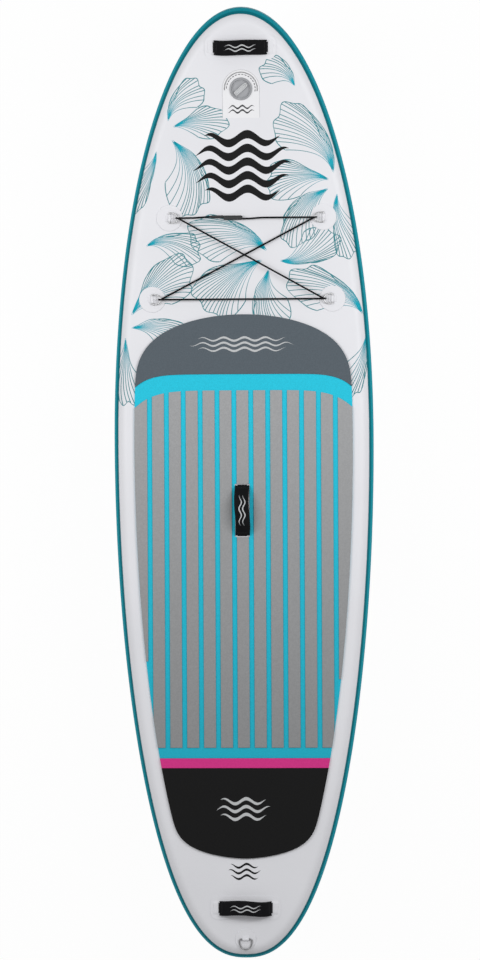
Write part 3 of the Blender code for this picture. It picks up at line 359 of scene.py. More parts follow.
def braided(name, color):
    made = Finish(name, color, 0.55, Specular_IOR_Level=0.08)
    coords = made.surface_map()
    around, along = made.axis("X", coords), made.axis("Y", coords)
    ridges = 0.0
    for slant in (-1, 1):
        turns = slant * BRAID_STRANDS * math.pi / CORD_GIRTH
        wave = (along * 1500.0 + around * turns).math("SINE")
        ridges = wave.math("MAXIMUM", 0.0) + ridges
    # Painted highlight: the tops of the braid's ridges are made lighter
    return made.feed(made.shaded(ridges * 0.5, 2.2), None, ridges, 0.0004, 0.8)


black_webbing = woven("black_webbing", (0.014, 0.014, 0.016))
black_neoprene = knitted("black_neoprene", (0.0055, 0.0055, 0.0062))
black_elastic = braided("black_elastic", (0.0055, 0.0055, 0.0065))
print("textile finishes ready")


# %% [markdown]
# ## Hard parts
# Stainless wire is drawn, so it has fine lines and small scratches in its roughness. Moulded
# plastic has a faint orange-peel and a spark-eroded grain. Brass dulls in patches. Rubber is
# matte with a little dust. The core's drop-stitch fabric shows its thread rows.


# %% Hard finishes
def drawn_steel(name, color):
    made = Finish(name, color, 0.24, 1.0)
    streaks = made.noise(700.0, 4.0)
    return made.feed(None, streaks * 0.22 + 0.16, streaks, 0.00003, 0.5)


def moulded(name, color, roughness=0.42):
    made = Finish(name, color, roughness, Specular_IOR_Level=0.4)
    peel = made.noise(420.0)
    grain = made.noise(2600.0)
    scuff = made.ramp(made.noise(90.0, 5.0), (0.55, 0.0), (0.78, 1.0))
    rough = made.noise(60.0, 3.0) * 0.14 + (roughness - 0.07)
    return made.feed(made.shaded(scuff, 1.22), rough, grain + peel * 0.6, 0.00006, 0.6)


def dull_brass(name):
    made = Finish(name, (0.58, 0.40, 0.16), 0.32, 1.0)
    patches = made.noise(160.0, 4.0)
    return made.feed(made.shaded(patches, 0.6), patches * 0.3 + 0.2, patches, 0.00004, 0.4)


def soft_rubber(name, color):
    made = Finish(name, color, 0.62, Specular_IOR_Level=0.3)
    dust = made.ramp(made.noise(140.0, 4.0), (0.5, 0.0), (0.8, 1.0))
    return made.feed(made.shaded(dust, 1.6), None, made.noise(1600.0), 0.00008, 0.5)


def thread_rows(name):
    made = Finish(name, (0.55, 0.56, 0.57), 0.8)
    rows = made.rows("X", 0.006)
    return made.feed(made.shaded(rows * 0.5 + 0.5, 0.8), None, rows, 0.0003, 0.8)


steel = drawn_steel("drawn_steel", (0.20, 0.20, 0.205))
# Painted highlight: a lighter copy of the drawn steel, for the lashing rings
pale_steel = drawn_steel("pale_steel", (0.32, 0.32, 0.325))
valve_grey = moulded("valve_grey", (0.335, 0.342, 0.36), 0.40)
# Painted highlight: a lighter copy of the valve grey, for the cap's bar
bar_grey = moulded("bar_grey", (0.56, 0.57, 0.58), 0.36)
valve_dark = moulded("valve_dark", (0.15, 0.155, 0.165), 0.45)
sleeve_black = moulded("sleeve_black", (0.010, 0.011, 0.012), 0.5)
fin_black = moulded("fin_black", (0.013, 0.013, 0.015), 0.34)
brass = dull_brass("dull_brass")
seal_rubber = soft_rubber("seal_rubber", (0.03, 0.03, 0.032))
core_fabric = thread_rows("core_fabric")
print("hard finishes ready")


# %% [markdown]
# ## Inks
# Prints on the deck are thin ink. The leaf print is bright where its veins meet at the stalk and
# greyer towards the edge of each leaf, from an attribute that the leaf's node tree stores. The
# threads of the grips have the same plain finish.


# %% Ink finishes
def leaf_ink_finish():
    made = Finish("leaf_ink", (0.05, 0.30, 0.36), 0.5, Specular_IOR_Level=0.1)
    bright, far = (0.010, 0.37, 0.48, 1), (0.05, 0.235, 0.27, 1)
    tipward = made.ramp(made.attribute("along"), (0.12, 0.0), (0.7, 1.0))
    ink = made.mixed(bright, far, tipward)
    return made.feed(ink, made.noise(500.0) * 0.2 + 0.4)


def flat_ink(name, color, roughness=0.5):
    made = Finish(name, color, roughness, Specular_IOR_Level=0.08)
    wear_and_painted_shade = made.ramp(made.noise(300.0, 4.0), (0.5, 0.0), (0.75, 1.0))
    shade = made.shaded(wear_and_painted_shade, 1.12)
    return made.feed(shade, made.noise(500.0) * 0.2 + (roughness - 0.1))


leaf_ink = leaf_ink_finish()
black_ink = flat_ink("black_ink", (0.0085, 0.0085, 0.009))
pale_ink = flat_ink("pale_ink", (0.50, 0.51, 0.52), 0.7)
grey_ink = flat_ink("grey_ink", (0.050, 0.052, 0.055))
# Painted shade: grey ink for the band along the valve label's edge
hem_ink = flat_ink("hem_ink", (0.42, 0.42, 0.44))
black_thread = flat_ink("black_thread", (0.03, 0.03, 0.032), 0.7)
print("inks ready")

# %% [markdown]
# ## The hull's form
# The outline is two power curves that meet at the widest station. The middle surface is flat
# amidships and rises at the nose and tail, which is called rocker. A point is given by x, its
# station along that surface and a height square to it. The rail is a rounded edge 45 mm deep.

# %% Hull form
LENGTH, WIDTH, THICKNESS = 2.896, 0.800, 0.127
HALF = THICKNESS / 2
NOSE_TIP, TAIL_TIP = LENGTH / 2, -LENGTH / 2
WIDEST = 0.144
NOSE_POWERS, TAIL_POWERS = (2.08, 2.03), (1.97, 2.36)
RAIL_BULGE = 0.045
NOSE_RISE, NOSE_FROM = 0.180, 0.300
TAIL_RISE, TAIL_FROM = 0.030, -0.700
SKIN, GAP, TAPE = 0.0010, 0.0003, 0.0008
CROWDING, NUDGE, BATCH = 0.30, 0.004, 4000
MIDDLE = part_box("bottom_skin")[0].z + HALF


def powered(value, power):
    return np.sign(value) * np.abs(value) ** (2 / power)


def turns(count, shift=0.0):
    """Even steps round a full turn."""
    return 2 * np.pi * (np.arange(count) + shift) / count


def unit(rows):
    """Rows of coordinates, each scaled to length one."""
    return rows / np.linalg.norm(rows, axis=1, keepdims=True)


def outline(angle):
    """Points of the outline, from the nose tip round by the right side."""
    c, s = np.cos(angle), np.sin(angle)
    ahead = c >= 0
    x = np.where(ahead, powered(s, NOSE_POWERS[1]), powered(s, TAIL_POWERS[1])) * WIDTH / 2
    reach = np.where(ahead, NOSE_TIP - WIDEST, WIDEST - TAIL_TIP)
    turn = np.where(ahead, powered(c, NOSE_POWERS[0]), powered(c, TAIL_POWERS[0]))
    return np.stack([x, WIDEST + turn * reach], axis=-1)


def rim(inset, count):
    """The outline moved inward, with its points closer together at both tips."""
    turn = turns(count)
    angle = turn - CROWDING * np.sin(2 * turn)
    along = unit(outline(angle + NUDGE) - outline(angle - NUDGE))
    return outline(angle) + inset * np.stack([along[:, 1], -along[:, 0]], axis=1)


FINE_RIM = rim(0.0, 1440)


def rocker(station):
    nose = NOSE_RISE * (np.maximum(station - NOSE_FROM, 0) / (NOSE_TIP - NOSE_FROM)) ** 2
    tail = TAIL_RISE * (np.minimum(station - TAIL_FROM, 0) / (TAIL_TIP - TAIL_FROM)) ** 2
    return nose + tail


def pitch(station):
    nose = 2 * NOSE_RISE * np.maximum(station - NOSE_FROM, 0) / (NOSE_TIP - NOSE_FROM) ** 2
    tail = 2 * TAIL_RISE * np.minimum(station - TAIL_FROM, 0) / (TAIL_TIP - TAIL_FROM) ** 2
    return np.arctan(nose + tail)


def hull_points(x, station, height):
    angle = pitch(station)
    x = np.broadcast_to(x, np.shape(angle))
    rise = MIDDLE + rocker(station) + height * np.cos(angle)
    return np.stack([x, station - height * np.sin(angle), rise], axis=-1)


def shoulder_drop(x, station):
    """How far the deck has fallen towards its rounded edge, worked out in batches."""
    inside = np.empty(len(x))
    for first in range(0, len(x), BATCH):
        some = slice(first, first + BATCH)
        dx = x[some, None] - FINE_RIM[None, :, 0]
        dy = station[some, None] - FINE_RIM[None, :, 1]
        inside[some] = np.sqrt((dx * dx + dy * dy).min(axis=1))
    share = np.clip((RAIL_BULGE - inside) / RAIL_BULGE, 0, 0.999)
    return HALF * (1 - np.sqrt(1 - share**2))


def on_deck(x, station, lift):
    """Points this far above the deck's face."""
    x, station = np.asarray(x, float).ravel(), np.asarray(station, float).ravel()
    return hull_points(x, station, HALF - shoulder_drop(x, station) + lift)


print("middle surface at", round(MIDDLE, 4))

# %% [markdown]
# ## From points to pieces
# One function turns points and faces into a finished object: closed, faces outward, smooth with
# sharp edges kept and riding on its body. Its object stays at the origin, as the CAD nodes do.


# %% Piece maker
def mesh_of(name, points, faces):
    mesh = bpy.data.meshes.new(name)
    mesh.from_pydata([tuple(map(float, p)) for p in points], [], faces)
    return mesh


def positions(mesh):
    return np.array([v.co[:] for v in mesh.vertices])


def piece(name, points, faces, material, slot, **fit):
    """Points and faces finished as a piece of the board. See dress for what fit can say."""
    return dress(name, mesh_of(name, points, faces), material, slot, **fit)


def merged(mesh):
    """The mesh with its doubles merged and its faces turned outward."""
    work = bmesh.new()
    work.from_mesh(mesh)
    bmesh.ops.remove_doubles(work, verts=work.verts, dist=1e-6)
    bmesh.ops.recalc_face_normals(work, faces=work.faces)
    work.to_mesh(mesh)
    work.free()
    return mesh


def dress(name, mesh, material, slot, body="hull", replaces=(), sharp=38, bevel=0.0):
    """Finishes a mesh as a piece: its body, the CAD nodes it replaces and its edges."""
    merged(mesh)
    mesh.materials.clear()
    mesh.materials.append(material)
    mesh.shade_smooth()
    mesh.set_sharp_from_angle(angle=math.radians(sharp))
    made = placed(name, mesh)
    if bevel:
        soften = made.modifiers.new("soft edge", "BEVEL")
        soften.width = bevel
        soften.segments = 2
        soften.limit_method = "ANGLE"
        soften.angle_limit = math.radians(50)
    if body:
        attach(made, body)
    if replaces:
        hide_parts(*replaces)
    return made


def skin(rings, ends):
    """Joins rings of equally many points: a loop back to the first, flat caps, or rungs."""
    rings = np.asarray(rings, float)
    count, size = rings.shape[0], rings.shape[1]
    faces = []
    for r in range(count if ends == "loop" else count - 1):
        low, high = r * size, (r + 1) % count * size
        for k in range(size):
            n = (k + 1) % size
            faces.append((low + k, low + n, high + n, high + k))
    last = (count - 1) * size
    if ends == "flat":
        faces += [tuple(range(size)), tuple(last + size - 1 - k for k in range(size))]
    if ends == "rungs":
        for first in (0, last):
            for k in range(size // 2):
                corners = (k, k + 1, (size - k - 1) % size, (size - k) % size)
                faces.append(tuple(first + c for c in dict.fromkeys(corners)))
    return rings.reshape(-1, 3), faces


def joined(shapes):
    """Several closed shapes as the points and faces of one."""
    points, faces = [], []
    for more, made in shapes:
        faces += [tuple(len(points) + i for i in face) for face in made]
        points += list(more)
    return np.array(points), faces


# %% [markdown]
# Some sheets have openings. A Boolean modifier cuts them and is baked at once, so that no cutter is
# left in the scene. It needs closed shapes with their doubles merged.


# %% Openings
def box_mesh(seat, low, high):
    """A box between two corners, placed by a matrix."""
    spans = list(zip(low, high))
    corners = [(x, y, z) for x in spans[0] for y in spans[1] for z in spans[2]]
    faces = [(0, 1, 3, 2), (4, 6, 7, 5), (0, 4, 5, 1), (2, 3, 7, 6), (0, 2, 6, 4), (1, 5, 7, 3)]
    mesh = mesh_of("opening", corners, faces)
    mesh.transform(seat)
    return mesh


def baked(thing):
    """The evaluated mesh of an object, as a plain mesh."""
    graph = bpy.context.evaluated_depsgraph_get()
    return bpy.data.meshes.new_from_object(thing.evaluated_get(graph))


def opened(name, shape, tools):
    """Points and faces, or a mesh, with openings of these meshes' shapes cut through."""
    mesh = merged(mesh_of(name, *shape)) if isinstance(shape, tuple) else shape
    things = [placed(name, m) for m in [mesh] + [merged(t) for t in tools]]
    for tool in things[1:]:
        cut = things[0].modifiers.new("opening", "BOOLEAN")
        cut.operation, cut.object = "DIFFERENCE", tool
    cut_mesh = baked(things[0])
    for thing in things:
        bpy.data.objects.remove(thing)
    return cut_mesh


print("piece maker ready")

# %% [markdown]
# ## Frames for what is fitted on
# A fitting sits square on the deck, so its points are worked out flat and then placed by a matrix.
# Where a joint moves a fitting, the joint's own place and axis give that matrix exactly.

# %% Frames
SEAT = 0.0008


def flat_to(seat, points):
    """Points moved by a matrix."""
    points = np.asarray(points, float)
    turned = points.reshape(-1, 3) @ np.array(seat.to_3x3()).T + np.array(seat.translation)
    return turned.reshape(points.shape)


def deck_frame(x, station, reach, turn=0.0):
    """X to the right, Y forward and Z square off the deck, for a flat fitting this long."""
    ends = hull_points(x, np.array([station - reach, station + reach]), HALF + SEAT)
    rear, front = Vector(ends[0]), Vector(ends[1])
    lean = math.atan2(front.z - rear.z, front.y - rear.y)
    seat = Matrix.Translation((rear + front) / 2)
    return seat @ Matrix.Rotation(lean, 4, "X") @ Matrix.Rotation(turn, 4, "Z")


def frame_of(origin, x_axis, y_axis, z_axis):
    made = Matrix((x_axis, y_axis, z_axis)).transposed().to_4x4()
    return Matrix.Translation(origin) @ made


def joint_place(name):
    """The point and the axis of a joint. A slide has no point of its own."""
    joint = joints[name]
    return Vector(joint.get("pos_m", (0, 0, 0))), Vector(joint["axis"]).normalized()


def lathe(profile, count=96):
    """Rings of a profile of (radius, height) turned about Z."""
    profile = np.asarray(profile, float)
    turn = turns(count)
    rings = [np.stack([r * np.cos(turn), r * np.sin(turn), turn * 0 + h], -1) for r, h in profile]
    return np.array(rings)


cap_place, cap_axis = joint_place("valve_cap_turn")
x_axis = Vector((1, 0, 0))
FLANGE_R, FLANGE, CAP_R, MOUTH = 0.034, 0.0034, 0.027, 0.019
TUBE_WALL, TUBE_DEPTH = 0.0035, 0.034
LEDGE = GAP + FLANGE / 2
valve_seat = frame_of(
    cap_place - cap_axis * (LEDGE + GAP), x_axis, cap_axis.cross(x_axis), cap_axis
)
cap_seat = valve_seat @ Matrix.Translation((0, 0, LEDGE + GAP))

# %% [markdown]
# ## Hull
# Deck, bottom and side band are fabric a millimetre thick, and two tapes cover the seams between
# them. Each is a loft of rings round the hull at one angle of the rounded rail, 480 points long.
# The deck between its edges is straight across, so plain rungs close it.


# %% Hull pieces
RIM = 480
SEAM, TAPE_TOP, TAPE_LOW = 30.0, 47.0, 8.0
TAPE_FROM, TAPE_SPAN = 0.008, 0.036
VALVE_HOLE = 0.0231


def hull_ring(degrees, depth):
    angle = math.radians(degrees)
    reach = (RAIL_BULGE - depth) * math.cos(angle)
    height = (HALF - depth) * math.sin(angle)
    points = rim(RAIL_BULGE - reach, RIM)
    return hull_points(points[:, 0], points[:, 1], height)


def shell(name, angles, depth, thick, ends, material, slot, node):
    outer = [hull_ring(a, depth) for a in angles]
    inner = [hull_ring(a, depth + thick) for a in reversed(angles)]
    return piece(name, *skin(outer + inner, ends), material, slot, replaces=[node], sharp=60)


over = [90, 84, 78, 72, 66, 60, 54, 48, 42, 36, SEAM]
valve_hole = flat_to(valve_seat, lathe([(VALVE_HOLE, -0.01), (VALVE_HOLE, 0.01)]))
valve_way = mesh_of("valve_way", *skin(valve_hole, "flat"))
rings = [hull_ring(a, 0) for a in over] + [hull_ring(a, SKIN) for a in reversed(over)]
mesh = opened("deck_fabric", skin(rings, "rungs"), [valve_way])
deck = dress("deck_fabric", mesh, white_fabric, "white_pvc", replaces=["deck_skin"], sharp=60)
under = [-a for a in over]
shell("bottom_fabric", under, 0, SKIN, "rungs", white_fabric, "white_pvc", "bottom_skin")
side = [29.8, 24, 18, 12, 6, 0, -6, -12, -18, -24, -29.8]
shell("rail_fabric", side, 0, SKIN, "loop", rail_fabric, "rail_pvc", "rail_band")
for name, way in (("deck", 1), ("bottom", -1)):
    steps = [way * a for a in np.linspace(TAPE_TOP, TAPE_LOW, 9)]
    tape = shell(
        f"{name}_tape", steps, -GAP - TAPE, TAPE, "loop", seam_tape, "teal_pvc",
        f"{name}_seam_tape",
    )
    points = positions(tape.data)
    across = tape.data.attributes.new("across", "FLOAT", "POINT")
    from_middle = np.abs(points[:, 2] - (MIDDLE + rocker(points[:, 1])))
    share = 1 - np.clip((from_middle - TAPE_FROM) / TAPE_SPAN, 0, 1)
    across.data.foreach_set("value", share.astype(np.float32))
print("hull pieces", len(deck.data.polygons), "faces on the deck")

# %% [markdown]
# ## Deck pad
# The pad is foam sheet glued to the deck: a cyan base with grey planks on it, a slate arch panel
# at the front, and a magenta stripe and a black panel at the rear. The real grooves are routed
# through the grey layer into the cyan one, so each plank has square walls with a slightly worn
# edge, which a small bevel gives. The same edge formulas as the CAD give the outlines, with more
# points.

# %% Pad outlines
PAD_FRONT = NOSE_TIP - 0.914
ARCH_DEPTH, ARCH_POWERS = 0.245, (3.2, 2.0)
ARCH_SPRING = PAD_FRONT - ARCH_DEPTH
PAD_REAR = TAIL_TIP + 0.308
TAIL_DEPTH, TAIL_PAD_POWERS = 0.176, (5.5, 1.65)
TAIL_SPRING = PAD_REAR + TAIL_DEPTH
STRIPE_REAR = PAD_REAR + 0.278
BASE_REAR = STRIPE_REAR + 0.0303
PLANK_REAR = BASE_REAR + 0.0325
ARCH_EDGE = PAD_FRONT - 0.1865
PLANK_FRONT = ARCH_EDGE - 0.0506
GLUE, BASE, PLANK = 0.0005, 0.0030, 0.0025
PAD_TOP = GLUE + BASE + GAP + PLANK
JOINT_GAP = 0.0006
BARE_DECK, PLANK_TRIM = 0.065, 0.0053
GROOVE, PLANKS, PLANK_SHIFT = 0.0141, 13, -0.0030
PLANK_PITCH = (WIDTH - 2 * (BARE_DECK + PLANK_TRIM) + GROOVE) / PLANKS


def half_width(station):
    ahead = station >= WIDEST
    reach = (NOSE_TIP - WIDEST) if ahead else (WIDEST - TAIL_TIP)
    along, across = NOSE_POWERS if ahead else TAIL_POWERS
    return WIDTH / 2 * (1 - min(1, abs(station - WIDEST) / reach) ** along) ** (1 / across)


def drawn_in(beyond, depth, powers):
    """How much of its width the pad keeps this far into one of its rounded ends."""
    return (1 - min(1.0, beyond / depth) ** powers[0]) ** (1 / powers[1])


def pad_half(station):
    """Half the pad's width: a strip of deck stays bare at both sides."""
    half = half_width(station) - BARE_DECK
    if station > ARCH_SPRING:
        half *= drawn_in(station - ARCH_SPRING, ARCH_DEPTH, ARCH_POWERS)
    if station < TAIL_SPRING:
        half *= drawn_in(TAIL_SPRING - station, TAIL_DEPTH, TAIL_PAD_POWERS)
    return half


def arch_edge(share):
    """The arch panel's rear edge falls back near the pad's sides."""
    return ARCH_EDGE - 0.040 * abs(share) ** 8


def plank_front(x):
    """The planks end in a shallow curve behind the arch panel."""
    return PLANK_FRONT - 0.052 * min(1.0, abs(x) / pad_half(ARCH_SPRING)) ** 6


def slab_on_deck(rows, low, high, surface=on_deck):
    """A closed sheet between two lifts over a surface, from rows of (x, station) points."""
    rows = np.asarray(rows, float)
    tall, wide = rows.shape[:2]
    flat = rows.reshape(-1, 2)
    top, under = (surface(flat[:, 0], flat[:, 1], lift) for lift in (high, low))
    faces = []
    for r in range(tall - 1):
        for c in range(wide - 1):
            a = r * wide + c
            quad = (a, a + 1, a + wide + 1, a + wide)
            faces += [quad, tuple(tall * wide + i for i in reversed(quad))]
    edge = list(range(wide)) + [r * wide + wide - 1 for r in range(1, tall)]
    edge += [(tall - 1) * wide + c for c in range(wide - 2, -1, -1)]
    edge += [r * wide for r in range(tall - 2, 0, -1)]
    for a, b in zip(edge, edge[1:] + edge[:1]):
        faces.append((a, tall * wide + a, tall * wide + b, b))
    return np.concatenate([top, under]), faces


def pad_rows(rear, front, shares, columns=41):
    """Rows across the pad from one edge to the other, closer together at its sides."""
    rows = []
    for share in shares:
        row = []
        for turn in np.linspace(-math.pi / 2, math.pi / 2, columns):
            across = math.sin(turn)
            station = rear(across) + (front(across) - rear(across)) * share
            row.append((across * pad_half(station), station))
        rows.append(row)
    return rows


print("pad from", round(PAD_REAR, 3), "to", round(PAD_FRONT, 3))

# %% Pad panels
PANEL_EDGE = 0.0007
rising = np.sin(np.radians(np.linspace(0, 88, 30)))
falling = 1 - np.sin(np.radians(np.linspace(88, 0, 34)))
PANELS = (
    ("arch_panel", "pad_nose_arch", slate_foam, "slate_foam",
     lambda s: arch_edge(s) + JOINT_GAP, lambda s: PAD_FRONT, rising),
    ("cross_stripe", "pad_stripe", magenta_foam, "magenta_foam",
     lambda s: STRIPE_REAR, lambda s: BASE_REAR - JOINT_GAP, (0, 0.5, 1)),
    ("tail_panel", "pad_tail", black_foam, "black_foam",
     lambda s: PAD_REAR, lambda s: STRIPE_REAR - JOINT_GAP, falling),
)
for name, node, foam, slot, rear, front, shares in PANELS:
    shape = slab_on_deck(pad_rows(rear, front, shares), GLUE, PAD_TOP)
    piece(name, *shape, foam, slot, replaces=[node], bevel=PANEL_EDGE)
print("pad panels laid")

# %% [markdown]
# The base sheet is open under the centre handle, where the strap's feet are glued to the deck. Two
# boxes give the opening its shape: a wide one for the grip and a long one for the feet.

# %% Pad base with its opening
HANDLE_X, HANDLE_STATION = -0.0045, -0.071
CENTRE_REACH, END_REACH = 0.0790, 0.0825
STRAP_FOOT, FOOT_ROOM, FOOT_PLAY = 0.014, 0.0162, 0.0012
GRIP_WIDTH = 0.0455
SLOT_REACH = CENTRE_REACH + 0.0025


def room_for(wide, long):
    """A box over the centre handle that reaches well through the pad."""
    seat = Matrix.Translation((HANDLE_X, HANDLE_STATION, DECK_LEVEL))
    return box_mesh(seat, (-wide / 2, -long, -0.02), (wide / 2, long, 0.02))


foot_long = CENTRE_REACH + STRAP_FOOT + 2 * FOOT_PLAY
rooms = [room_for(GRIP_WIDTH, SLOT_REACH), room_for(2 * (FOOT_ROOM + FOOT_PLAY), foot_long)]
rows = pad_rows(lambda s: BASE_REAR, arch_edge, np.linspace(0, 1, 60))
base_shape = slab_on_deck(rows, GLUE, GLUE + BASE)
cut_mesh = opened("pad_base_sheet", base_shape, rooms)
dress("pad_base_foam", cut_mesh, cyan_foam, "cyan_foam", replaces=["pad_base"], sharp=30)
print("pad base", len(cut_mesh.polygons), "faces")

# %% Planks
PLANK_EDGE = 0.0006
half_plank = (PLANK_PITCH - GROOVE) / 2 - PLANK_EDGE
widest = pad_half(0.2)


def plank(name, node, left, right, rear, front):
    """One plank, kept inside the pad's outline, with rounded corners from its bevel."""
    inner, outer = max(left, -widest), min(right, widest)
    rows = []
    for share in np.linspace(0, 1, 50):
        row = []
        for across in np.linspace(0, 1, 9):
            end = plank_front(inner + across * (outer - inner)) if front is None else front
            station = rear + (end - rear) * share
            half = pad_half(station)
            low, high = max(-half, left), min(half, right)
            row.append((low + (high - low) * across, station))
        rows.append(row)
    shape = slab_on_deck(rows, GLUE + BASE + GAP, PAD_TOP)
    return piece(name, *shape, grey_foam, "grey_foam", replaces=[node], bevel=PLANK_EDGE)


for k in range(PLANKS):
    centre = (k - PLANKS // 2) * PLANK_PITCH + PLANK_SHIFT
    left = -WIDTH / 2 if k == 0 else centre - half_plank
    right = WIDTH / 2 if k == PLANKS - 1 else centre + half_plank
    node, name = f"pad_plank_{k + 1:02d}", f"plank_{k + 1:02d}"
    if k == PLANKS // 2:
        front_from, rear_to = HANDLE_STATION + SLOT_REACH, HANDLE_STATION - SLOT_REACH
        plank(name + "_front", node + "_front", left, right, front_from, None)
        plank(name + "_rear", node + "_rear", left, right, PLANK_REAR, rear_to)
        continue
    # An outer plank starts where the pad has grown 6 mm wider than the plank's inner side
    rear = PLANK_REAR
    while pad_half(rear) < min(abs(left), abs(right)) + 0.006:
        rear += 0.002
    plank(name, node, left, right, rear, None)
print("planks", PLANKS + 1)

# %% [markdown]
# ## Shapes from node trees
# Geometry Nodes make what repeats or follows a surface: veins, stitches, ribs and ticks. The class
# below builds such a tree with named inputs and ends each one alike.


# %% Tree class
class Plan(Nodes):
    """A Geometry Nodes tree with named inputs."""

    def __init__(self, name, **inputs):
        super().__init__(bpy.data.node_groups.new(name, "GeometryNodeTree"))
        sockets = self.tree.interface
        sockets.new_socket("Geometry", in_out="OUTPUT", socket_type="NodeSocketGeometry")
        for key, kind in inputs.items():
            sockets.new_socket(key, in_out="INPUT", socket_type=f"NodeSocket{kind}")
        entry = self.tree.nodes.new("NodeGroupInput")
        self.given = {socket.name: Wire(self, socket) for socket in entry.outputs if socket.name}

    def geo(self, kind, inputs=None, out=0, **settings):
        return self.node(f"GeometryNode{kind}", inputs, out, **settings)

    def added(self, first, second):
        return self.node("ShaderNodeVectorMath", {0: first, 1: second}, operation="ADD")

    def moved(self, shape, place):
        return self.geo("SetPosition", {"Geometry": shape, "Position": place})

    def without(self, shape, selection, domain):
        inputs = {"Geometry": shape, "Selection": selection}
        return self.geo("DeleteGeometry", inputs, domain=domain, mode="ALL")

    def finished(self, shape, finish):
        """The tree, ended with plain faces in one finish, because the export drops instances."""
        solid = self.geo("RealizeInstances", {0: shape})
        inked = self.geo("SetMaterial", {0: solid, "Material": finish})
        self.node("NodeGroupOutput", {0: inked})
        return self.tree


print("tree class ready")

# %% [markdown]
# ## Leaf print
# Fine teal veins fan out from a stalk to a rippled edge. One node tree draws one leaf: a grid of
# narrow strips is bent into veins by a formula, and a ray straight down lays every point on the
# deck. Its inputs set the size, spread, bend and place, so the same tree draws them all. A fixed
# seed shifts the ripples of each leaf.


# %% Leaf tree
LEAF_INPUTS = {
    "Deck": "Object", "Ink": "Material", "Veins": "Int", "Seat": "Vector", "Turn": "Float",
    "Length": "Float", "Spread": "Float", "Bend": "Float", "Line": "Float", "Seed": "Float",
    "Lift": "Float",
}
VEIN_POINTS = 44


def leaf_tree():
    plan = Plan("leaf", **LEAF_INPUTS)
    given = plan.given
    position = plan.geo("InputPosition")

    def part(index):
        return plan.node("ShaderNodeSeparateXYZ", {0: position}, out=index)

    def grid(columns, rows):
        """A square grid of points, one unit wide and long."""
        inputs = {"Size X": 1.0, "Size Y": 1.0, "Vertices X": columns, "Vertices Y": rows}
        return plan.geo("MeshGrid", inputs, out="Mesh")

    def marked(shape, along):
        """The shape, with how far along the leaf each point lies, for the ink."""
        inputs = {"Geometry": shape, "Name": "along", "Value": along}
        return plan.geo("StoreNamedAttribute", inputs, data_type="FLOAT", domain="POINT")

    def leaf_point(across, along, outward, sideways):
        """Where a vein runs: it swings outward from the stalk and back, and sways as it goes."""
        ripple = (across * 11.0 + given["Seed"]).math("SINE") * 0.025
        ripple = (across * 4.3 + given["Seed"] * 1.7).math("SINE") * 0.04 + ripple
        rounded = (1.0 - across * across * 0.98) ** 0.5
        length = given["Length"] * (rounded * 0.5 + ripple + 0.5)
        fan = given["Spread"] * across * along**0.6 * (1.35 - along * 0.35)
        angle = fan + given["Bend"] * along
        line = given["Line"] * (along * 0.75 + 0.25)
        reach = length * along + outward * given["Line"]
        sine, cosine = angle.math("SINE"), angle.math("COSINE")
        sway = (along * 4.5 + given["Seed"]).math("SINE") * along * given["Length"] * 0.05
        x = reach * sine + cosine * sideways * line + sway
        y = reach * cosine - sine * sideways * line
        flat = plan.node("ShaderNodeCombineXYZ", {0: x, 1: y})
        spin = {"Vector": flat, "Angle": given["Turn"]}
        turned = plan.node("ShaderNodeVectorRotate", spin, rotation_type="Z_AXIS")
        return plan.added(turned, given["Seat"])

    # Every second column of faces is deleted, which leaves one narrow strip for each vein
    columns = given["Veins"] * 2.0
    veins = grid(columns, VEIN_POINTS)
    place = (part(0) + 0.5) * (columns - 1.0)
    between = (place.math("FLOOR")).math("MODULO", 2.0).math("GREATER_THAN", 0.5)
    strips = plan.without(veins, between, "FACE")
    along = part(1) + 0.5
    strips = marked(strips, along)
    column = place.math("ROUND")
    vein = (column / 2.0).math("FLOOR")
    sideways = column - vein * 2.0 - 0.5
    across = vein / (given["Veins"] - 1.0) * 2.0 - 1.0
    run = along * 0.92 + 0.08
    laid = plan.moved(strips, leaf_point(across, run, run * -0.5, sideways))

    # The rippled edge is one more strip, across the ends of the veins
    border = marked(grid(given["Veins"] * 8.0, 2), 1.0)
    across = part(0) * 2.0
    outward = part(1)
    edge_point = leaf_point(across, across * 0.0 + 1.0, outward, outward * across * across * across)
    both = plan.geo("JoinGeometry", {0: [laid, plan.moved(border, edge_point)]})

    # A ray straight down from 2 m above finds the deck. Points beside it are dropped
    target = plan.geo("ObjectInfo", {"Object": given["Deck"]}, out="Geometry")
    fall = {
        "Target Geometry": target, "Source Position": plan.added(position, (0.0, 0.0, 2.0)),
        "Ray Direction": (0, 0, -1), "Ray Length": 4.0,
    }
    hit = plan.geo("Raycast", fall, out="Is Hit")
    kept = plan.without(both, 1.0 - hit, "POINT")
    tipward = plan.geo("InputNamedAttribute", {"Name": "along"}, data_type="FLOAT")
    lift = {0: hit.beside("Hit Normal"), "Scale": given["Lift"] * (tipward * 0.4 + 0.8)}
    lifted = plan.node("ShaderNodeVectorMath", lift, operation="SCALE")
    set_down = plan.moved(kept, plan.added(hit.beside("Hit Position"), lifted))
    return plan.finished(set_down, given["Ink"])


leaf = leaf_tree()
print("leaf tree", len(leaf.nodes), "nodes")

# %% [markdown]
# A modifier's inputs are set by the identifier of their socket before the object is first
# evaluated. Then the result becomes a plain mesh and the modifier goes with its carrier.


# %% Run a tree
def grown(tree, path=None, **values):
    """The mesh that a Geometry Nodes tree makes with these inputs, from a mesh if it takes one."""
    carrier = placed("carrier", path or bpy.data.meshes.new("carrier"))
    grow = carrier.modifiers.new("grow", "NODES")
    grow.node_group = tree
    for item in tree.interface.items_tree:
        if item.in_out == "INPUT" and item.name in values:
            grow[item.identifier] = values[item.name]
    bpy.context.view_layer.update()
    mesh = baked(carrier)
    bpy.data.objects.remove(carrier)
    return mesh


def gathered(name, meshes):
    """Several meshes as one."""
    work = bmesh.new()
    for mesh in meshes:
        work.from_mesh(mesh)
    joined = bpy.data.meshes.new(name)
    work.to_mesh(joined)
    work.free()
    return joined


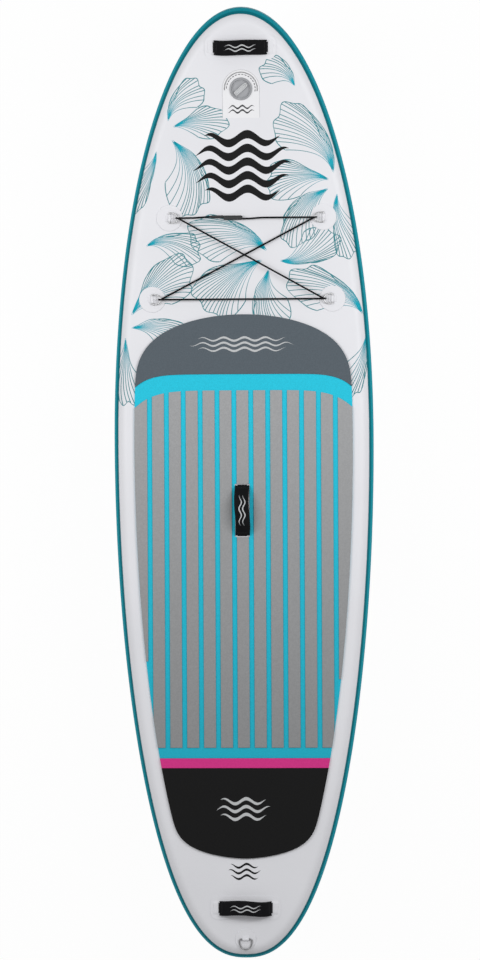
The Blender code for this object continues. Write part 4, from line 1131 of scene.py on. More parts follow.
# %% [markdown]
# Sprays of leaves frame the front of the deck. They grow from the rails, from behind the lashing
# and from the front of the pad. Each line of the list is a leaf: the place of its stalk, the way
# it points, its length, its spread, its bend and its number of veins.

# %% Leaves
LEAVES = (
    (0.280, 0.945, 8, 0.25, 0.40, -0.5, 19),
    (0.272, 0.930, 62, 0.20, 0.46, -0.5, 17),
    (0.270, 0.912, 112, 0.21, 0.42, -0.5, 17),
    (0.292, 0.900, 172, 0.20, 0.34, -0.3, 13),
    (-0.222, 1.105, -8, 0.15, 0.42, 0.5, 12),
    (-0.212, 1.090, -62, 0.17, 0.46, 0.4, 15),
    (-0.218, 1.062, -128, 0.24, 0.42, 0.6, 18),
    (-0.258, 1.030, 168, 0.20, 0.28, 0.2, 11),
    (0.080, 0.715, 42, 0.24, 0.46, -0.5, 20),
    (0.070, 0.695, 100, 0.25, 0.48, -0.5, 21),
    (0.082, 0.675, 160, 0.20, 0.44, -0.4, 15),
    (0.108, 0.694, -100, 0.19, 0.46, -0.5, 17),
    (-0.300, 0.735, -62, 0.17, 0.44, 0.5, 14),
    (-0.345, 0.520, -22, 0.25, 0.42, 0.5, 19),
    (-0.350, 0.490, -82, 0.19, 0.40, 0.3, 13),
    (-0.362, 0.470, 178, 0.22, 0.26, -0.1, 10),
    (0.372, 0.520, 28, 0.25, 0.40, -0.5, 18),
    (0.380, 0.480, 172, 0.22, 0.26, 0.1, 10),
    (0.165, 1.205, 22, 0.12, 0.50, -0.5, 11),
)
VEIN_WIDTH, LOWEST_LEAF, LEAF_STEP = 0.0026, 0.00010, 0.00001
meshes = []
for number, (x, y, turn, length, spread, bend, veins) in enumerate(LEAVES):
    mesh = grown(
        leaf, Deck=deck, Ink=leaf_ink, Veins=veins, Seat=(x, y, 0.0), Turn=math.radians(turn),
        Length=length, Spread=spread, Bend=bend, Line=VEIN_WIDTH, Seed=float(number * 2.4),
        Lift=LOWEST_LEAF + LEAF_STEP * number,
    )
    meshes.append(mesh)
prints = gathered("leaf_print", meshes)
prints.materials.append(leaf_ink)
leaves = placed("leaf_print", prints)
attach(leaves, "hull")
print("leaf print", len(prints.polygons), "faces")

# %% [markdown]
# ## Lofts with a surface map
# Straps, grips and cords are lofts of one section along a path. Their UV map holds metres along
# and round the piece, so that the weave bends with it and never stretches.


# %% Loft helpers
def gone_along(points):
    """The way gone at each point of a path, from its start."""
    return np.concatenate([[0], np.cumsum(np.linalg.norm(np.diff(points, axis=0), axis=1))])


def lofted(name, rings, ends, material, slot, **fit):
    """A piece lofted through rings of points, with its surface map in metres."""
    rings = np.asarray(rings, float)
    mesh = mesh_of(name, *skin(rings, ends))
    middle = rings[len(rings) // 2]
    around = gone_along(np.vstack([middle, middle[:1]]))
    along = np.append(gone_along(rings.mean(axis=1)), 0)
    size = rings.shape[1]
    pairs = len(rings) if ends == "loop" else len(rings) - 1
    corners = np.zeros((len(mesh.loops), 2))
    grid = np.stack(np.meshgrid(np.arange(pairs), np.arange(size), indexing="ij"), -1)
    r, k = grid.reshape(-1, 2).T
    quads = [(around[k], along[r]), (around[k + 1], along[r])]
    quads += [(around[k + 1], along[r + 1]), (around[k], along[r + 1])]
    corners[: pairs * size * 4] = np.array(quads).transpose(2, 0, 1).reshape(-1, 2)
    mesh.uv_layers.new(name="surface").data.foreach_set("uv", corners.ravel())
    return dress(name, mesh, material, slot, **fit)


def smoothed(points, step, rounds):
    """A path through these points, in even steps and with its corners relaxed."""
    points = np.asarray(points, float)
    gone = gone_along(points)
    even = np.linspace(0, gone[-1], max(3, int(round(gone[-1] / step)) + 1))
    path = np.stack([np.interp(even, gone, points[:, a]) for a in range(points.shape[1])], 1)
    for _ in range(rounds):
        path[1:-1] = (path[:-2] + 2 * path[1:-1] + path[2:]) / 4
    return path


def sections(path, wide, thick, power, count, sway=0.0):
    """Rounded sections square to a path in the XZ plane, with their middles swayed along Y."""
    path = np.asarray(path, float)
    tangent = unit(np.gradient(path, axis=0))
    turn = turns(count, 0.5)
    wide, thick = np.broadcast_to(wide, len(path)), np.broadcast_to(thick, len(path))
    up = thick[:, None] * powered(np.sin(turn), power)[None]
    y = wide[:, None] * powered(np.cos(turn), power)[None]
    y = y + np.broadcast_to(sway, len(path))[:, None]
    x = path[:, 0, None] - tangent[:, 1, None] * up
    z = path[:, 1, None] + tangent[:, 0, None] * up
    return np.stack([x, y, z], axis=-1)


def tube_rings(path, radius, count=14):
    """Round sections along any path, carried on without a twist."""
    path = np.asarray(path, float)
    tangent = unit(np.gradient(path, axis=0))
    side = np.cross(tangent[0], (0.0, 0.0, 1.0))
    turn = turns(count)
    rings = []
    for centre, ahead in zip(path, tangent):
        side = side - ahead * np.dot(side, ahead)
        side /= np.linalg.norm(side)
        other = np.cross(ahead, side)
        spokes = np.cos(turn)[:, None] * side + np.sin(turn)[:, None] * other
        rings.append(centre + radius * spokes)
    return np.array(rings)


print("loft helpers ready")

# %% [markdown]
# ## Handle patches
# Each end handle has a welded PVC patch with round corners. The strap's feet lie under it, so it
# swells over them, and a slot lets the strap out. The swell is a smooth step on both axes.


# %% Handle patches
PATCH, WEBBING, WEBBING_WIDTH = 0.0009, 0.0018, 0.030
STEP_RUN, STEP_RISE = 0.0035, 0.0042
END_PATCH, PATCH_CORNER = (0.216, 0.072), 0.024
SLOT_WIDTH, SLOT_PLAY = 0.0041, 0.0006
SLOPE = 0.003
HANDLES = {
    "nose": (0.0, NOSE_TIP - 0.108, END_REACH, 0.0292, 0.0),
    "tail": (0.0, TAIL_TIP + 0.157, END_REACH, 0.0292, 0.0),
    "centre": (HANDLE_X, HANDLE_STATION, CENTRE_REACH, 0.040, math.pi / 2),
}


def ease(value, start, end):
    share = np.clip((value - start) / (end - start), 0, 1)
    return share * share * (3 - 2 * share)


def weld_patch(name, rows, swell, frame_reach):
    """A patch on the deck, raised where the strap's feet lie under it, with its two slots."""
    x, station, reach, rise, turn = HANDLES[name]
    points, faces = slab_on_deck(rows, GLUE, GLUE + PATCH)
    flat = np.asarray(rows, float).reshape(-1, 2)
    top, above = (on_deck(flat[:, 0], flat[:, 1], GLUE + PATCH + up) for up in (0, 0.01))
    off_deck = np.concatenate([above - top] * 2) * 100
    lift = np.concatenate([swell(flat[:, 0], flat[:, 1])] * 2)
    points = points + off_deck * lift[:, None]
    seat = deck_frame(x, station, frame_reach, turn)
    half = WEBBING_WIDTH / 2 + SLOT_PLAY
    ends = ((reach - SLOT_WIDTH, reach + SLOT_PLAY), (-reach - SLOT_PLAY, -reach + SLOT_WIDTH))
    slots = [box_mesh(seat, (low, -half, -0.02), (high, half, 0.02)) for low, high in ends]
    mesh = opened(f"{name}_patch", (points, faces), slots)
    dress(f"{name}_patch", mesh, white_fabric, "white_pvc", replaces=[f"{name}_handle_patch"])


def end_patch(name):
    """A rectangle with round corners, in rows that come closer together at the corners."""
    x, station, reach, rise, turn = HANDLES[name]
    straight = END_PATCH[1] / 2 - PATCH_CORNER
    rounds = straight + PATCH_CORNER * np.sin(np.radians(np.arange(9, 91, 9)))
    rows = []
    for v in np.concatenate([-rounds[::-1], np.linspace(-straight, straight, 13), rounds]):
        beyond = min(PATCH_CORNER, max(0.0, abs(v) - straight))
        cut_in = PATCH_CORNER - math.sqrt(PATCH_CORNER**2 - beyond**2)
        across = np.linspace(-1, 1, 109) * (END_PATCH[0] / 2 - cut_in)
        rows.append(np.stack([x + across, np.full(109, station + v)], -1))
    inner, outer = reach - STEP_RUN - FOOT_PLAY, reach + STRAP_FOOT + FOOT_PLAY

    def swell(px, py):
        over = ease(np.abs(px), inner - SLOPE, inner) * (1 - ease(np.abs(px), outer, outer + SLOPE))
        over *= 1 - ease(np.abs(py - station), FOOT_ROOM, FOOT_ROOM + SLOPE)
        return over * (WEBBING + GAP + shoulder_drop(px, py) * 0.95)

    weld_patch(name, rows, swell, WEBBING_WIDTH / 2)


def centre_patch():
    """A strip along the board, a little wider than the strap."""
    x, station, reach, rise, turn = HANDLES["centre"]
    outer = reach + STRAP_FOOT + FOOT_PLAY
    rows = [
        [(x + u, station + v) for u in np.linspace(-FOOT_ROOM, FOOT_ROOM, 25)]
        for v in np.linspace(-outer, outer, 120)
    ]

    def swell(px, py):
        return ease(np.abs(py - station), reach - 0.0077, reach - 0.005) * (WEBBING + GAP)

    weld_patch("centre", rows, swell, reach + STRAP_FOOT)


end_patch("nose")
end_patch("tail")
centre_patch()
print("handle patches welded on")

# %% [markdown]
# ## Straps and padded grips
# A strap comes up through its slot, arches over a finger gap and goes down again. A neoprene
# sleeve with foam inside is sewn round it. The sleeve is a soft thing, so it gets a short cloth
# simulation: its stitched edges and ends are pinned, and pressure from inside puckers the rest.


# %% Handle helpers
GRIP_SHORT, GRIP_THICK, GRIP_END_THICK = 0.0045, 0.013, 0.0062
EARS = 0.0035
SWAYS = {
    "nose": (0.0014, 0.012, 1.0),
    "tail": (-0.0026, -0.020, -1.0),
    "centre": (0.0018, 0.028, 0.4),
}


def arch_of(reach, rise):
    foot = GLUE - SEAT + WEBBING / 2
    spring, base = reach - STEP_RUN, foot + STEP_RISE
    return foot, spring, lambda u: base + (rise - STEP_RISE) * (1 - (u / spring) ** 2)


def sway_of(name, u, reach):
    """The small sideways bends that use gives a handle."""
    bend, lean, phase = SWAYS[name]
    held = np.clip(1 - (np.abs(u) / reach) ** 6, 0, 1)
    return (bend * np.sin(u / reach * 3.4 + phase) + lean * u * 0.6) * held


def strap_of(name):
    x, station, reach, rise, turn = HANDLES[name]
    foot, spring, arch = arch_of(reach, rise)
    u = np.linspace(-spring, spring, 60)
    path = [(-reach - STRAP_FOOT, foot), (-reach, foot), *zip(u, arch(u))]
    path = smoothed(path + [(reach, foot), (reach + STRAP_FOOT, foot)], 0.0012, 2)
    sway = sway_of(name, path[:, 0], reach)
    return sections(path, WEBBING_WIDTH / 2, WEBBING / 2, 7.0, 28, sway)


def grip_of(name, wide, halves, power, count, steps, ears=0.0):
    """The sleeve's sections. Its corners reach out further than the middle of its ends."""
    x, station, reach, rise, turn = HANDLES[name]
    foot, spring, arch = arch_of(reach, rise)
    u = np.linspace(-1, 1, steps) * (reach - GRIP_SHORT)
    share = np.abs(u) / (reach - GRIP_SHORT)
    path = np.stack([u, arch(u)], -1)
    sway = sway_of(name, u, reach)
    rings = sections(path, wide, halves(share), power, count, sway)
    beside = np.abs(rings[:, :, 1] - sway[:, None]) - WEBBING_WIDTH / 2
    corner = np.clip(beside / (wide - WEBBING_WIDTH / 2), 0, 1) ** 1.5
    rings[:, :, 0] += np.sign(u)[:, None] * ears * ease(share, 0.9, 1.0)[:, None] * corner
    return rings


# %% [markdown]
# The simulation runs on a remeshed copy. A point may move 1.2 mm at most, so the sleeve stays in
# the space that the CAD grip holds. The strap's way through the sleeve is cut out afterwards.


# %% Puffed sleeve
PUFF_LIMIT, VOXEL, CLOTH_FRAMES = 0.0012, 0.0019, 20


def puffed(name, rings, pinned):
    """A closed form puffed up by a short cloth simulation, as a plain mesh."""
    pad = placed(name, mesh_of(name, *skin(rings, "flat")))
    grid = pad.modifiers.new("even grid", "REMESH")
    grid.mode, grid.voxel_size = "VOXEL", VOXEL
    even = baked(pad)
    bpy.data.objects.remove(pad)
    pad = placed(name, even)
    start = positions(even)
    hold = pad.vertex_groups.new(name="sewn")
    for number, weight in enumerate(pinned(start)):
        hold.add([number], float(weight), "REPLACE")
    cloth = pad.modifiers.new("cloth", "CLOTH")
    cloth.settings.quality = 6
    cloth.settings.mass = 0.004
    cloth.settings.use_pressure = True
    cloth.settings.uniform_pressure_force = 4.0
    cloth.settings.effector_weights.gravity = 0.0
    cloth.settings.vertex_group_mass = "sewn"
    for frame_number in range(1, CLOTH_FRAMES + 1):
        bpy.context.scene.frame_set(frame_number)
    even = baked(pad)
    bpy.context.scene.frame_set(1)
    moved = positions(even) - start
    size = np.linalg.norm(moved, axis=1, keepdims=True)
    moved *= np.minimum(1, PUFF_LIMIT / np.maximum(size, 1e-9))
    even.vertices.foreach_set("co", (start + moved).ravel())
    print(name, "puffed by up to", round(float(size.max()) * 1000, 2), "mm")
    bpy.data.objects.remove(pad)
    return even


# %% [markdown]
# ## Trees for what repeats
# Stitches follow a path, and ribs or ticks stand in a ring or an arc. Each has one tree with its
# sizes as inputs. The ribs are drawn flat at the origin and placed by the fitting's matrix.


# %% Stitch tree
def stitch_tree():
    plan = Plan("stitches", Path="Geometry", Pitch="Float", Size="Vector", Thread="Material")
    given = plan.given
    curve = plan.geo("MeshToCurve", {"Mesh": given["Path"]})
    even = plan.geo("ResampleCurve", {"Curve": curve, "Length": given["Pitch"]}, mode="LENGTH")
    tangent = plan.geo("InputTangent")
    turn = plan.node("FunctionNodeAlignRotationToVector", {"Vector": tangent}, axis="X")
    bead = plan.geo("MeshIcoSphere", {"Radius": 0.5, "Subdivisions": 2})
    rounded = plan.geo("SetShadeSmooth", {0: bead})
    spots = {"Points": even, "Instance": rounded, "Rotation": turn, "Scale": given["Size"]}
    return plan.finished(plan.geo("InstanceOnPoints", spots), given["Thread"])


stitches = stitch_tree()


def path_mesh(paths):
    """Polylines as one mesh of edges."""
    points, edges = [], []
    for path in paths:
        first = len(points)
        points += [tuple(map(float, p)) for p in path]
        edges += [(first + k, first + k + 1) for k in range(len(path) - 1)]
    mesh = bpy.data.meshes.new("path")
    mesh.from_pydata(points, edges, [])
    return mesh


def sew(name, paths, spacing, size, thread, slot):
    """Stitches along these paths, as a piece."""
    mesh = grown(stitches, path_mesh(paths), Pitch=spacing, Size=size, Thread=thread)
    return dress(name, mesh, thread, slot, sharp=70)


print("stitch tree", len(stitches.nodes), "nodes")


# %% Rib tree
def rib_tree():
    plan = Plan(
        "ribs", Count="Int", Radius="Float", Start="Float", Sweep="Float", Height="Float",
        Size="Vector", Sides="Int", Finish="Material",
    )
    given = plan.given
    index = plan.geo("InputIndex")
    angle = given["Start"] + given["Sweep"] * index / given["Count"]
    x, y = (angle.math(way) * given["Radius"] for way in ("COSINE", "SINE"))
    place = plan.node("ShaderNodeCombineXYZ", {0: x, 1: y, 2: given["Height"]})
    points = plan.geo("Points", {"Count": given["Count"], "Position": place})
    turn = plan.node("ShaderNodeCombineXYZ", {2: angle})
    drum = {"Vertices": given["Sides"], "Radius": 0.5, "Depth": 1.0}
    rib = plan.geo("MeshCylinder", drum)
    spots = {"Points": points, "Instance": rib, "Rotation": turn, "Scale": given["Size"]}
    return plan.finished(plan.geo("InstanceOnPoints", spots), given["Finish"])


ribs = rib_tree()
print("rib tree", len(ribs.nodes), "nodes")

# %% [markdown]
# The stitches need the finished sleeve, because they lie on its puckered face. A ray from above
# finds that face, for two rows along the sleeve and a zigzag across each end.

# %% Straps and grips
SEAM_INSET, SEAM_SHORT, SLEEVE_PLAY, STITCH_LIFT = 0.0024, 0.0030, 0.0006, 0.0001


def seams(name):
    """The strap's reach, and how far out the long seams and the end seams of the grip lie."""
    reach = HANDLES[name][2]
    return reach, GRIP_WIDTH / 2 - SEAM_INSET, reach - GRIP_SHORT - SEAM_SHORT


def sleeve(name, seat):
    """The puffed grip with the strap's way cut through it, mapped flat from above."""
    reach, edge, ends = seams(name)

    def halves(share):
        return (GRIP_THICK - 0.0006 - (GRIP_THICK - GRIP_END_THICK) * share**6) / 2

    def pinned(points):
        """One at the stitched edges and ends, and nothing a few millimetres inside them."""
        across = np.abs(points[:, 1] - sway_of(name, points[:, 0], reach))
        side = ease(across, edge - 0.0028, edge)
        return np.maximum(side, ease(np.abs(points[:, 0]), ends - 0.004, ends))

    outer = grip_of(name, GRIP_WIDTH / 2 - 0.0004, halves, 3.0, 56, 61, EARS)
    form = puffed(f"{name}_grip_form", outer, pinned)
    half_way = WEBBING_WIDTH / 2 + SLEEVE_PLAY
    way = grip_of(name, half_way, lambda s: s * 0 + 0.0015, 8.0, 24, 61)
    way[0, :, 0] -= 0.004
    way[-1, :, 0] += 0.004
    mesh = opened(f"{name}_grip_form", form, [mesh_of("strap_way", *skin(way, "flat"))])
    corners = np.empty(len(mesh.loops), np.int32)
    mesh.loops.foreach_get("vertex_index", corners)
    while mesh.uv_layers:
        mesh.uv_layers.remove(mesh.uv_layers[0])
    spread = positions(mesh)[:, :2][corners]
    mesh.uv_layers.new(name="surface").data.foreach_set("uv", spread.ravel())
    mesh.transform(seat)
    return dress(f"{name}_grip", mesh, black_neoprene, "neoprene",
                 replaces=[f"{name}_handle_grip"], sharp=50)


def face_finder(grip, seat):
    """A function that gives the point of the grip's upper face over a flat place, or None."""
    tree = BVHTree.FromObject(grip, bpy.context.evaluated_depsgraph_get())
    up = (seat.to_3x3() @ Vector((0, 0, 1))).normalized()

    def on_grip(u, v, lift):
        hit = tree.ray_cast(seat @ Vector((u, v, 0.08)), -up, 0.09)[0]
        return None if hit is None else hit + up * lift

    return on_grip


def stitch_grip(name, on_grip):
    """A row of stitches near each long edge, and a zigzag across each end."""
    reach, edge, ends = seams(name)
    along, across = [], []
    for way in (-1, 1):
        line = [(u, way * (edge - 0.0010) + float(sway_of(name, np.array(u), reach)))
                for u in np.linspace(-ends, ends, 90)]
        zigzag = [(way * (ends - 0.001 - 0.003 * (k % 2)), (k / 14 * 2 - 1) * (edge - 0.004))
                  for k in range(15)]
        for rows, places in ((along, line), (across, zigzag)):
            points = [on_grip(u, v, STITCH_LIFT) for u, v in places]
            rows.append([point for point in points if point is not None])
    for row_name, rows, spacing, long in (
        ("grip_stitches", along, 0.0034, 0.0026), ("grip_end_stitches", across, 0.0017, 0.0019),
    ):
        sew(f"{name}_{row_name}", rows, spacing, (long, 0.0007, 0.0006), black_thread, "webbing")


grip_faces = {}
for name, (x, station, reach, rise, turn) in HANDLES.items():
    seat = deck_frame(x, station, reach + STRAP_FOOT if turn else WEBBING_WIDTH / 2, turn)
    strap = flat_to(seat, strap_of(name))
    lofted(f"{name}_strap", strap, "flat", black_webbing, "webbing",
           replaces=[f"{name}_handle_strap"], sharp=60)
    grip = sleeve(name, seat)
    grip_faces[name] = face_finder(grip, seat)
    stitch_grip(name, grip_faces[name])
    print(name, "handle", len(grip.data.polygons), "faces")

# %% [markdown]
# ## Rings and their patches
# Four D-rings hold the lashing and one takes a leash. A ring is a bent wire with a straight bar
# inside a white loop, which is part of a round welded patch. The loop holds the bar, so the ring
# can swing. Ring and patch are placed by the joint's own axis. The wire is drawn 0.4 mm slimmer all
# round than in the CAD model.

# %% Ring frames and wires
RING_PATCH, RING_WIRE, PLAY = 0.0015, 0.0050, 0.0004
BAR_HEIGHT = RING_PATCH + GAP + RING_WIRE / 2 + PLAY
RING_TILT, LEASH_TILT = math.radians(14), math.radians(-1)
LOOP_LENGTH, LOOP_WALL, LOOP_WING = 0.020, 0.0016, 0.0075
WIRE_TRIM = 0.0004
RING_DEPTH = 0.032
LASHING = (0.036, RING_DEPTH, 0.040, RING_TILT)
RINGS = {
    "lashing_ring_front_left": (NOSE_TIP - 0.616, *LASHING),
    "lashing_ring_front_right": (NOSE_TIP - 0.616, *LASHING),
    "lashing_ring_rear_left": (NOSE_TIP - 0.867, *LASHING),
    "lashing_ring_rear_right": (NOSE_TIP - 0.867, *LASHING),
    "leash_ring": (TAIL_TIP + 0.062, 0.044, 0.036, 0.032, LEASH_TILT),
}


def ring_frame(name, station):
    """X from the bar to the ring's far side, Y along the bar, Z off the deck."""
    place, axis = joint_place(f"{name}_swing")
    lean = float(pitch(np.float64(station)))
    y_axis = -axis
    x_axis = y_axis.cross(Vector((0, -math.sin(lean), math.cos(lean)))).normalized()
    z_axis = x_axis.cross(y_axis)
    return frame_of(place - z_axis * BAR_HEIGHT, x_axis, y_axis, z_axis)


def ring_line(length, depth):
    half, reach = (length - RING_WIRE) / 2, depth - RING_WIRE
    turn = np.linspace(0, math.pi, 49)
    bow = np.stack([reach * powered(np.sin(turn), 2.4), half * powered(np.cos(turn), 2.4)], -1)
    bar = np.stack([np.zeros(18), np.linspace(-half, half, 20)[1:-1]], -1)
    line = np.vstack([bow, bar])
    line = np.hstack([line, np.zeros((len(line), 1))])
    for _ in range(3):
        line = (np.roll(line, 1, 0) + 2 * line + np.roll(line, -1, 0)) / 4
    return line


def closed_tube(line, radius, count=18):
    """Rings of a closed wire in its own XY plane."""
    tangent = unit(np.roll(line, -1, 0) - np.roll(line, 1, 0))
    side = np.cross(tangent, (0.0, 0.0, 1.0))
    turn = turns(count)
    out = np.cos(turn)[None, :, None] * side[:, None]
    rise = np.sin(turn)[None, :, None] * np.array((0.0, 0.0, 1.0))
    return line[:, None] + radius * (out + rise)


print("ring wires", len(RINGS))


# %% Round patches and their loops
def disc_shape(x, station, radius):
    """A flat round sheet whose edge is pressed down to the deck."""
    turn = turns(72)
    radii = radius * np.array([0.0001, 0.3, 0.6, 0.8, 0.93, 0.97, 0.99, 1.0])
    press = np.array([1, 1, 1, 1, 1, 0.96, 0.75, 0.35])
    levels = [(r, SEAT + RING_PATCH * p) for r, p in zip(radii, press)]
    levels += [(r, SEAT * 0.6) for r in radii[::-1]]
    rings = [on_deck(x + r * np.sin(turn), station + r * np.cos(turn), up) for r, up in levels]
    return skin(np.array(rings), "open")


def loop_shape(seat):
    """The loop round the bar, with a flat wing on each side where it is welded down."""
    hole = RING_WIRE / 2 + PLAY
    shell, base_level = hole + LOOP_WALL, RING_PATCH * 0.5
    arc = np.linspace(0, math.pi, 25)
    over = [(shell * math.cos(a), BAR_HEIGHT + shell * math.sin(a)) for a in arc]
    under = [(hole * math.cos(a), BAR_HEIGHT + hole * math.sin(a)) for a in arc[::-1]]
    wing = [(shell, 0.0034), (shell + LOOP_WING, 0.0020), (shell + LOOP_WING, base_level)]
    left_wing = [(-u, w) for u, w in wing]
    inside = [(-hole, base_level)] + under + [(hole, base_level)]
    profile = np.array(over + left_wing + inside + wing[::-1])
    middle = np.array((0, base_level))
    rings = []
    for v, squeeze in ((-1, 0.94), (-0.94, 1.0), (0, 1.0), (0.94, 1.0), (1, 0.94)):
        flat = middle + (profile - middle) * squeeze
        column = np.full(len(flat), v * LOOP_LENGTH / 2)
        rings.append(np.stack([flat[:, 0], column, flat[:, 1]], -1))
    return skin(flat_to(seat, rings), "flat")


frames = {}
for name, (station, length, depth, disc, tilt) in RINGS.items():
    seat = frames[name] = ring_frame(name, station)
    hinge = seat @ Matrix.Translation((0, 0, BAR_HEIGHT)) @ Matrix.Rotation(-tilt, 4, "Y")
    wire = flat_to(hinge, closed_tube(ring_line(length, depth), RING_WIRE / 2 - WIRE_TRIM))
    # Painted highlight: the lashing rings take the lighter copy of the steel
    finish = steel if name == "leash_ring" else pale_steel
    lofted(f"{name}_wire", wire, "loop", finish, "stainless", body=name, replaces=[name])
    shape = joined([disc_shape(seat.translation.x, station, disc), loop_shape(seat)])
    piece(f"{name}_disc", *shape, white_fabric, "white_pvc", replaces=[f"{name}_patch"])
print("rings on their patches", len(frames))

# %% [markdown]
# ## Deck lashing
# One elastic cord runs left along the front, down across the deck, right along the rear and back
# up. It goes round each ring's far side, and where its two runs cross, one lies over the other.
# It is drawn as four corners that meet in the middle of the runs: each one follows its ring and
# turns smoothly back to the hull.

# %% Cord
CORD = 0.0055
BESIDE = (CORD + GAP) / 2
END_LEFT, END_RIGHT = -0.0545, 0.0015
RELEASE = 0.11
CLAMPS = (
    ("left", (-0.0950, -0.0568), 0.0017, 1, 0.0),
    ("right", (-0.0562, -0.0010), 0.0010, 0, BESIDE),
)


def round_ring(name, over_first):
    """The cord's way round the far side of a ring's wire."""
    reach = RING_DEPTH - RING_WIRE
    u, w = reach * math.cos(RING_TILT), BAR_HEIGHT + reach * math.sin(RING_TILT)
    radius = (RING_WIRE + CORD) / 2 + PLAY
    turn = np.radians(np.linspace(90, 270, 25))
    bow = np.stack([u + radius * np.cos(turn), turn * 0, w + radius * np.sin(turn)], -1)
    points = flat_to(frames[name], bow)
    return points if over_first else points[::-1]


arrive, leave, rear_left, rear_right = (
    round_ring(f"lashing_ring_{end}_{side}", end == "rear")
    for end in ("front", "rear") for side in ("left", "right")
)
run = leave[-1] - arrive[0]
run /= np.linalg.norm(run)
run_up = np.cross(run, (0.0, 1.0, 0.0))
run_up /= np.linalg.norm(run_up)
run_across = np.cross(run_up, run)


def on_run(x, side):
    """A place on the front run, or beside it where two ends of the cord lie together."""
    return arrive[0] + run * ((x - arrive[0][0]) / run[0]) + run_across * (side * BESIDE)


def middle_of(a, b):
    return (np.asarray(a) + np.asarray(b)) / 2


diagonal = middle_of(arrive[-1], rear_right[0])
rear_middle = middle_of(rear_right[-1], rear_left[0])
other_diagonal = middle_of(rear_left[-1], leave[0])
left_end = [on_run(END_RIGHT, 1), on_run(-0.105, 1), on_run(-0.15, 0)]
right_end = [on_run(0.06, 0), on_run(END_RIGHT + 0.02, -1), on_run(END_LEFT, -1)]
corners = {
    "front_left": [*left_end, *arrive, diagonal],
    "rear_right": [diagonal, *rear_right, rear_middle],
    "rear_left": [rear_middle, *rear_left, other_diagonal],
    "front_right": [other_diagonal, *leave, *right_end],
}
for name, points in corners.items():
    path = smoothed(points, 0.0016, 3)
    made = lofted(f"cord_{name}", tube_rings(path, CORD / 2), "flat", black_elastic, "elastic",
                  body=None, replaces=["lashing_cord"], sharp=60)
    start = frames[f"lashing_ring_{name}"] @ Vector((RING_DEPTH - 0.002, 0, BAR_HEIGHT))
    inward = 1 if name.endswith("left") else -1
    end = start + Vector((inward * RELEASE, 0, 0))
    tuple(start)
    tuple(end)
    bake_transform(made)
print("cord corners", len(corners))

# %% [markdown]
# Two short plastic sleeves clamp the ends of the cord. Their ends are rounded, and the tool that
# crimped them left shallow bands.


# %% Clamp sleeves
def oval(centre, half, radius):
    """A section round the cord, or round two lengths of it that lie side by side."""
    turn = turns(40, 0.5)
    wide = np.where(np.cos(turn) > 0, half, -half) + radius * np.cos(turn)
    return centre + wide[:, None] * run_across + (radius * np.sin(turn))[:, None] * run_up


for side, (start, end), wall, way, half in CLAMPS:
    inner = CORD / 2 + GAP
    rings = []
    for share in np.linspace(0, 1, 33):
        tip = 1 - min(share, 1 - share) / 0.06
        grow = wall * (0.45 + 0.55 * math.sqrt(max(0.0, 1 - max(0.0, tip) ** 2)))
        crimp = 0.28 * wall * max(0.0, math.sin(share * math.pi * 6)) ** 4
        rings.append(oval(on_run(start + (end - start) * share, way), half, inner + grow - crimp))
    rings += [oval(on_run(x, way), half, inner) for x in (end, start)]
    lofted(f"clamp_sleeve_{side}", rings, "loop", sleeve_black, "sleeve_plastic",
           replaces=[f"lashing_sleeve_{side}"], sharp=50)
print("clamp sleeves on the front run")

# %% [markdown]
# ## Valve
# The valve is a turned plastic body with a flange on the deck and a screw cap with a bar to grip.
# A lathe profile, turned in 96 steps, makes each. Moulded ribs go round the flange, and small
# ones round the cap.


# %% Valve helpers
def turned(name, seat, profile, ends, material, slot, **fit):
    shape = skin(flat_to(seat, lathe(profile)), ends)
    return piece(name, *shape, material, slot, sharp=32, **fit)


def ring_of_ribs(name, seat, material, slot, body="hull", **values):
    """Ribs all the way round, unless the values give an arc of its own."""
    arc = {"Start": 0.0, "Sweep": 2 * math.pi, "Finish": material}
    mesh = grown(ribs, **{**arc, **values})
    mesh.transform(seat)
    return dress(name, mesh, material, slot, body, sharp=50)


print("valve at", [round(v, 3) for v in valve_seat.translation])


# %% Valve body
tube, well, web = MOUTH + TUBE_WALL, CAP_R + PLAY, -TUBE_DEPTH + 0.012
STEM, GUIDE_WALL, GUIDE_BORE, WEB = 0.0035, 0.0025, 0.0038, 0.003
hub = STEM + GUIDE_WALL
profile = [
    (FLANGE_R - 0.0003, 0), (FLANGE_R, 0.0004), (FLANGE_R, FLANGE * 0.45),
    (FLANGE_R - 0.0006, FLANGE * 0.72), (FLANGE_R - 0.0022, FLANGE * 0.95),
    (FLANGE_R - 0.0036, FLANGE), (well + 0.0004, FLANGE), (well, FLANGE - 0.0004),
    (well, LEDGE), (MOUTH, LEDGE), (MOUTH, -TUBE_DEPTH), (tube, -TUBE_DEPTH), (tube, 0),
]
turned("valve_collar", valve_seat, profile, "loop", valve_grey, "valve_grey",
       replaces=["valve_body"])
ring_of_ribs("valve_collar_ribs", valve_seat, valve_grey, "valve_grey", Count=60,
             Radius=FLANGE_R - 0.0030, Height=FLANGE, Size=(0.0034, 0.0011, 0.0006), Sides=10)
guide = [(hub, web), (hub, web + WEB), (GUIDE_BORE, web + WEB), (GUIDE_BORE, web - WEB),
         (hub, web - WEB)]
turned("valve_guide", valve_seat, guide, "loop", valve_grey, "valve_grey")
ring_of_ribs("valve_spokes", valve_seat, valve_grey, "valve_grey", Count=4,
             Radius=(MOUTH + hub) / 2, Height=web - WEB / 2,
             Size=(MOUTH - hub + 0.004, 0.0060, WEB), Sides=12)
print("valve body and its guide")

# %% [markdown]
# The spring stands on the spokes and holds the stem's button up.

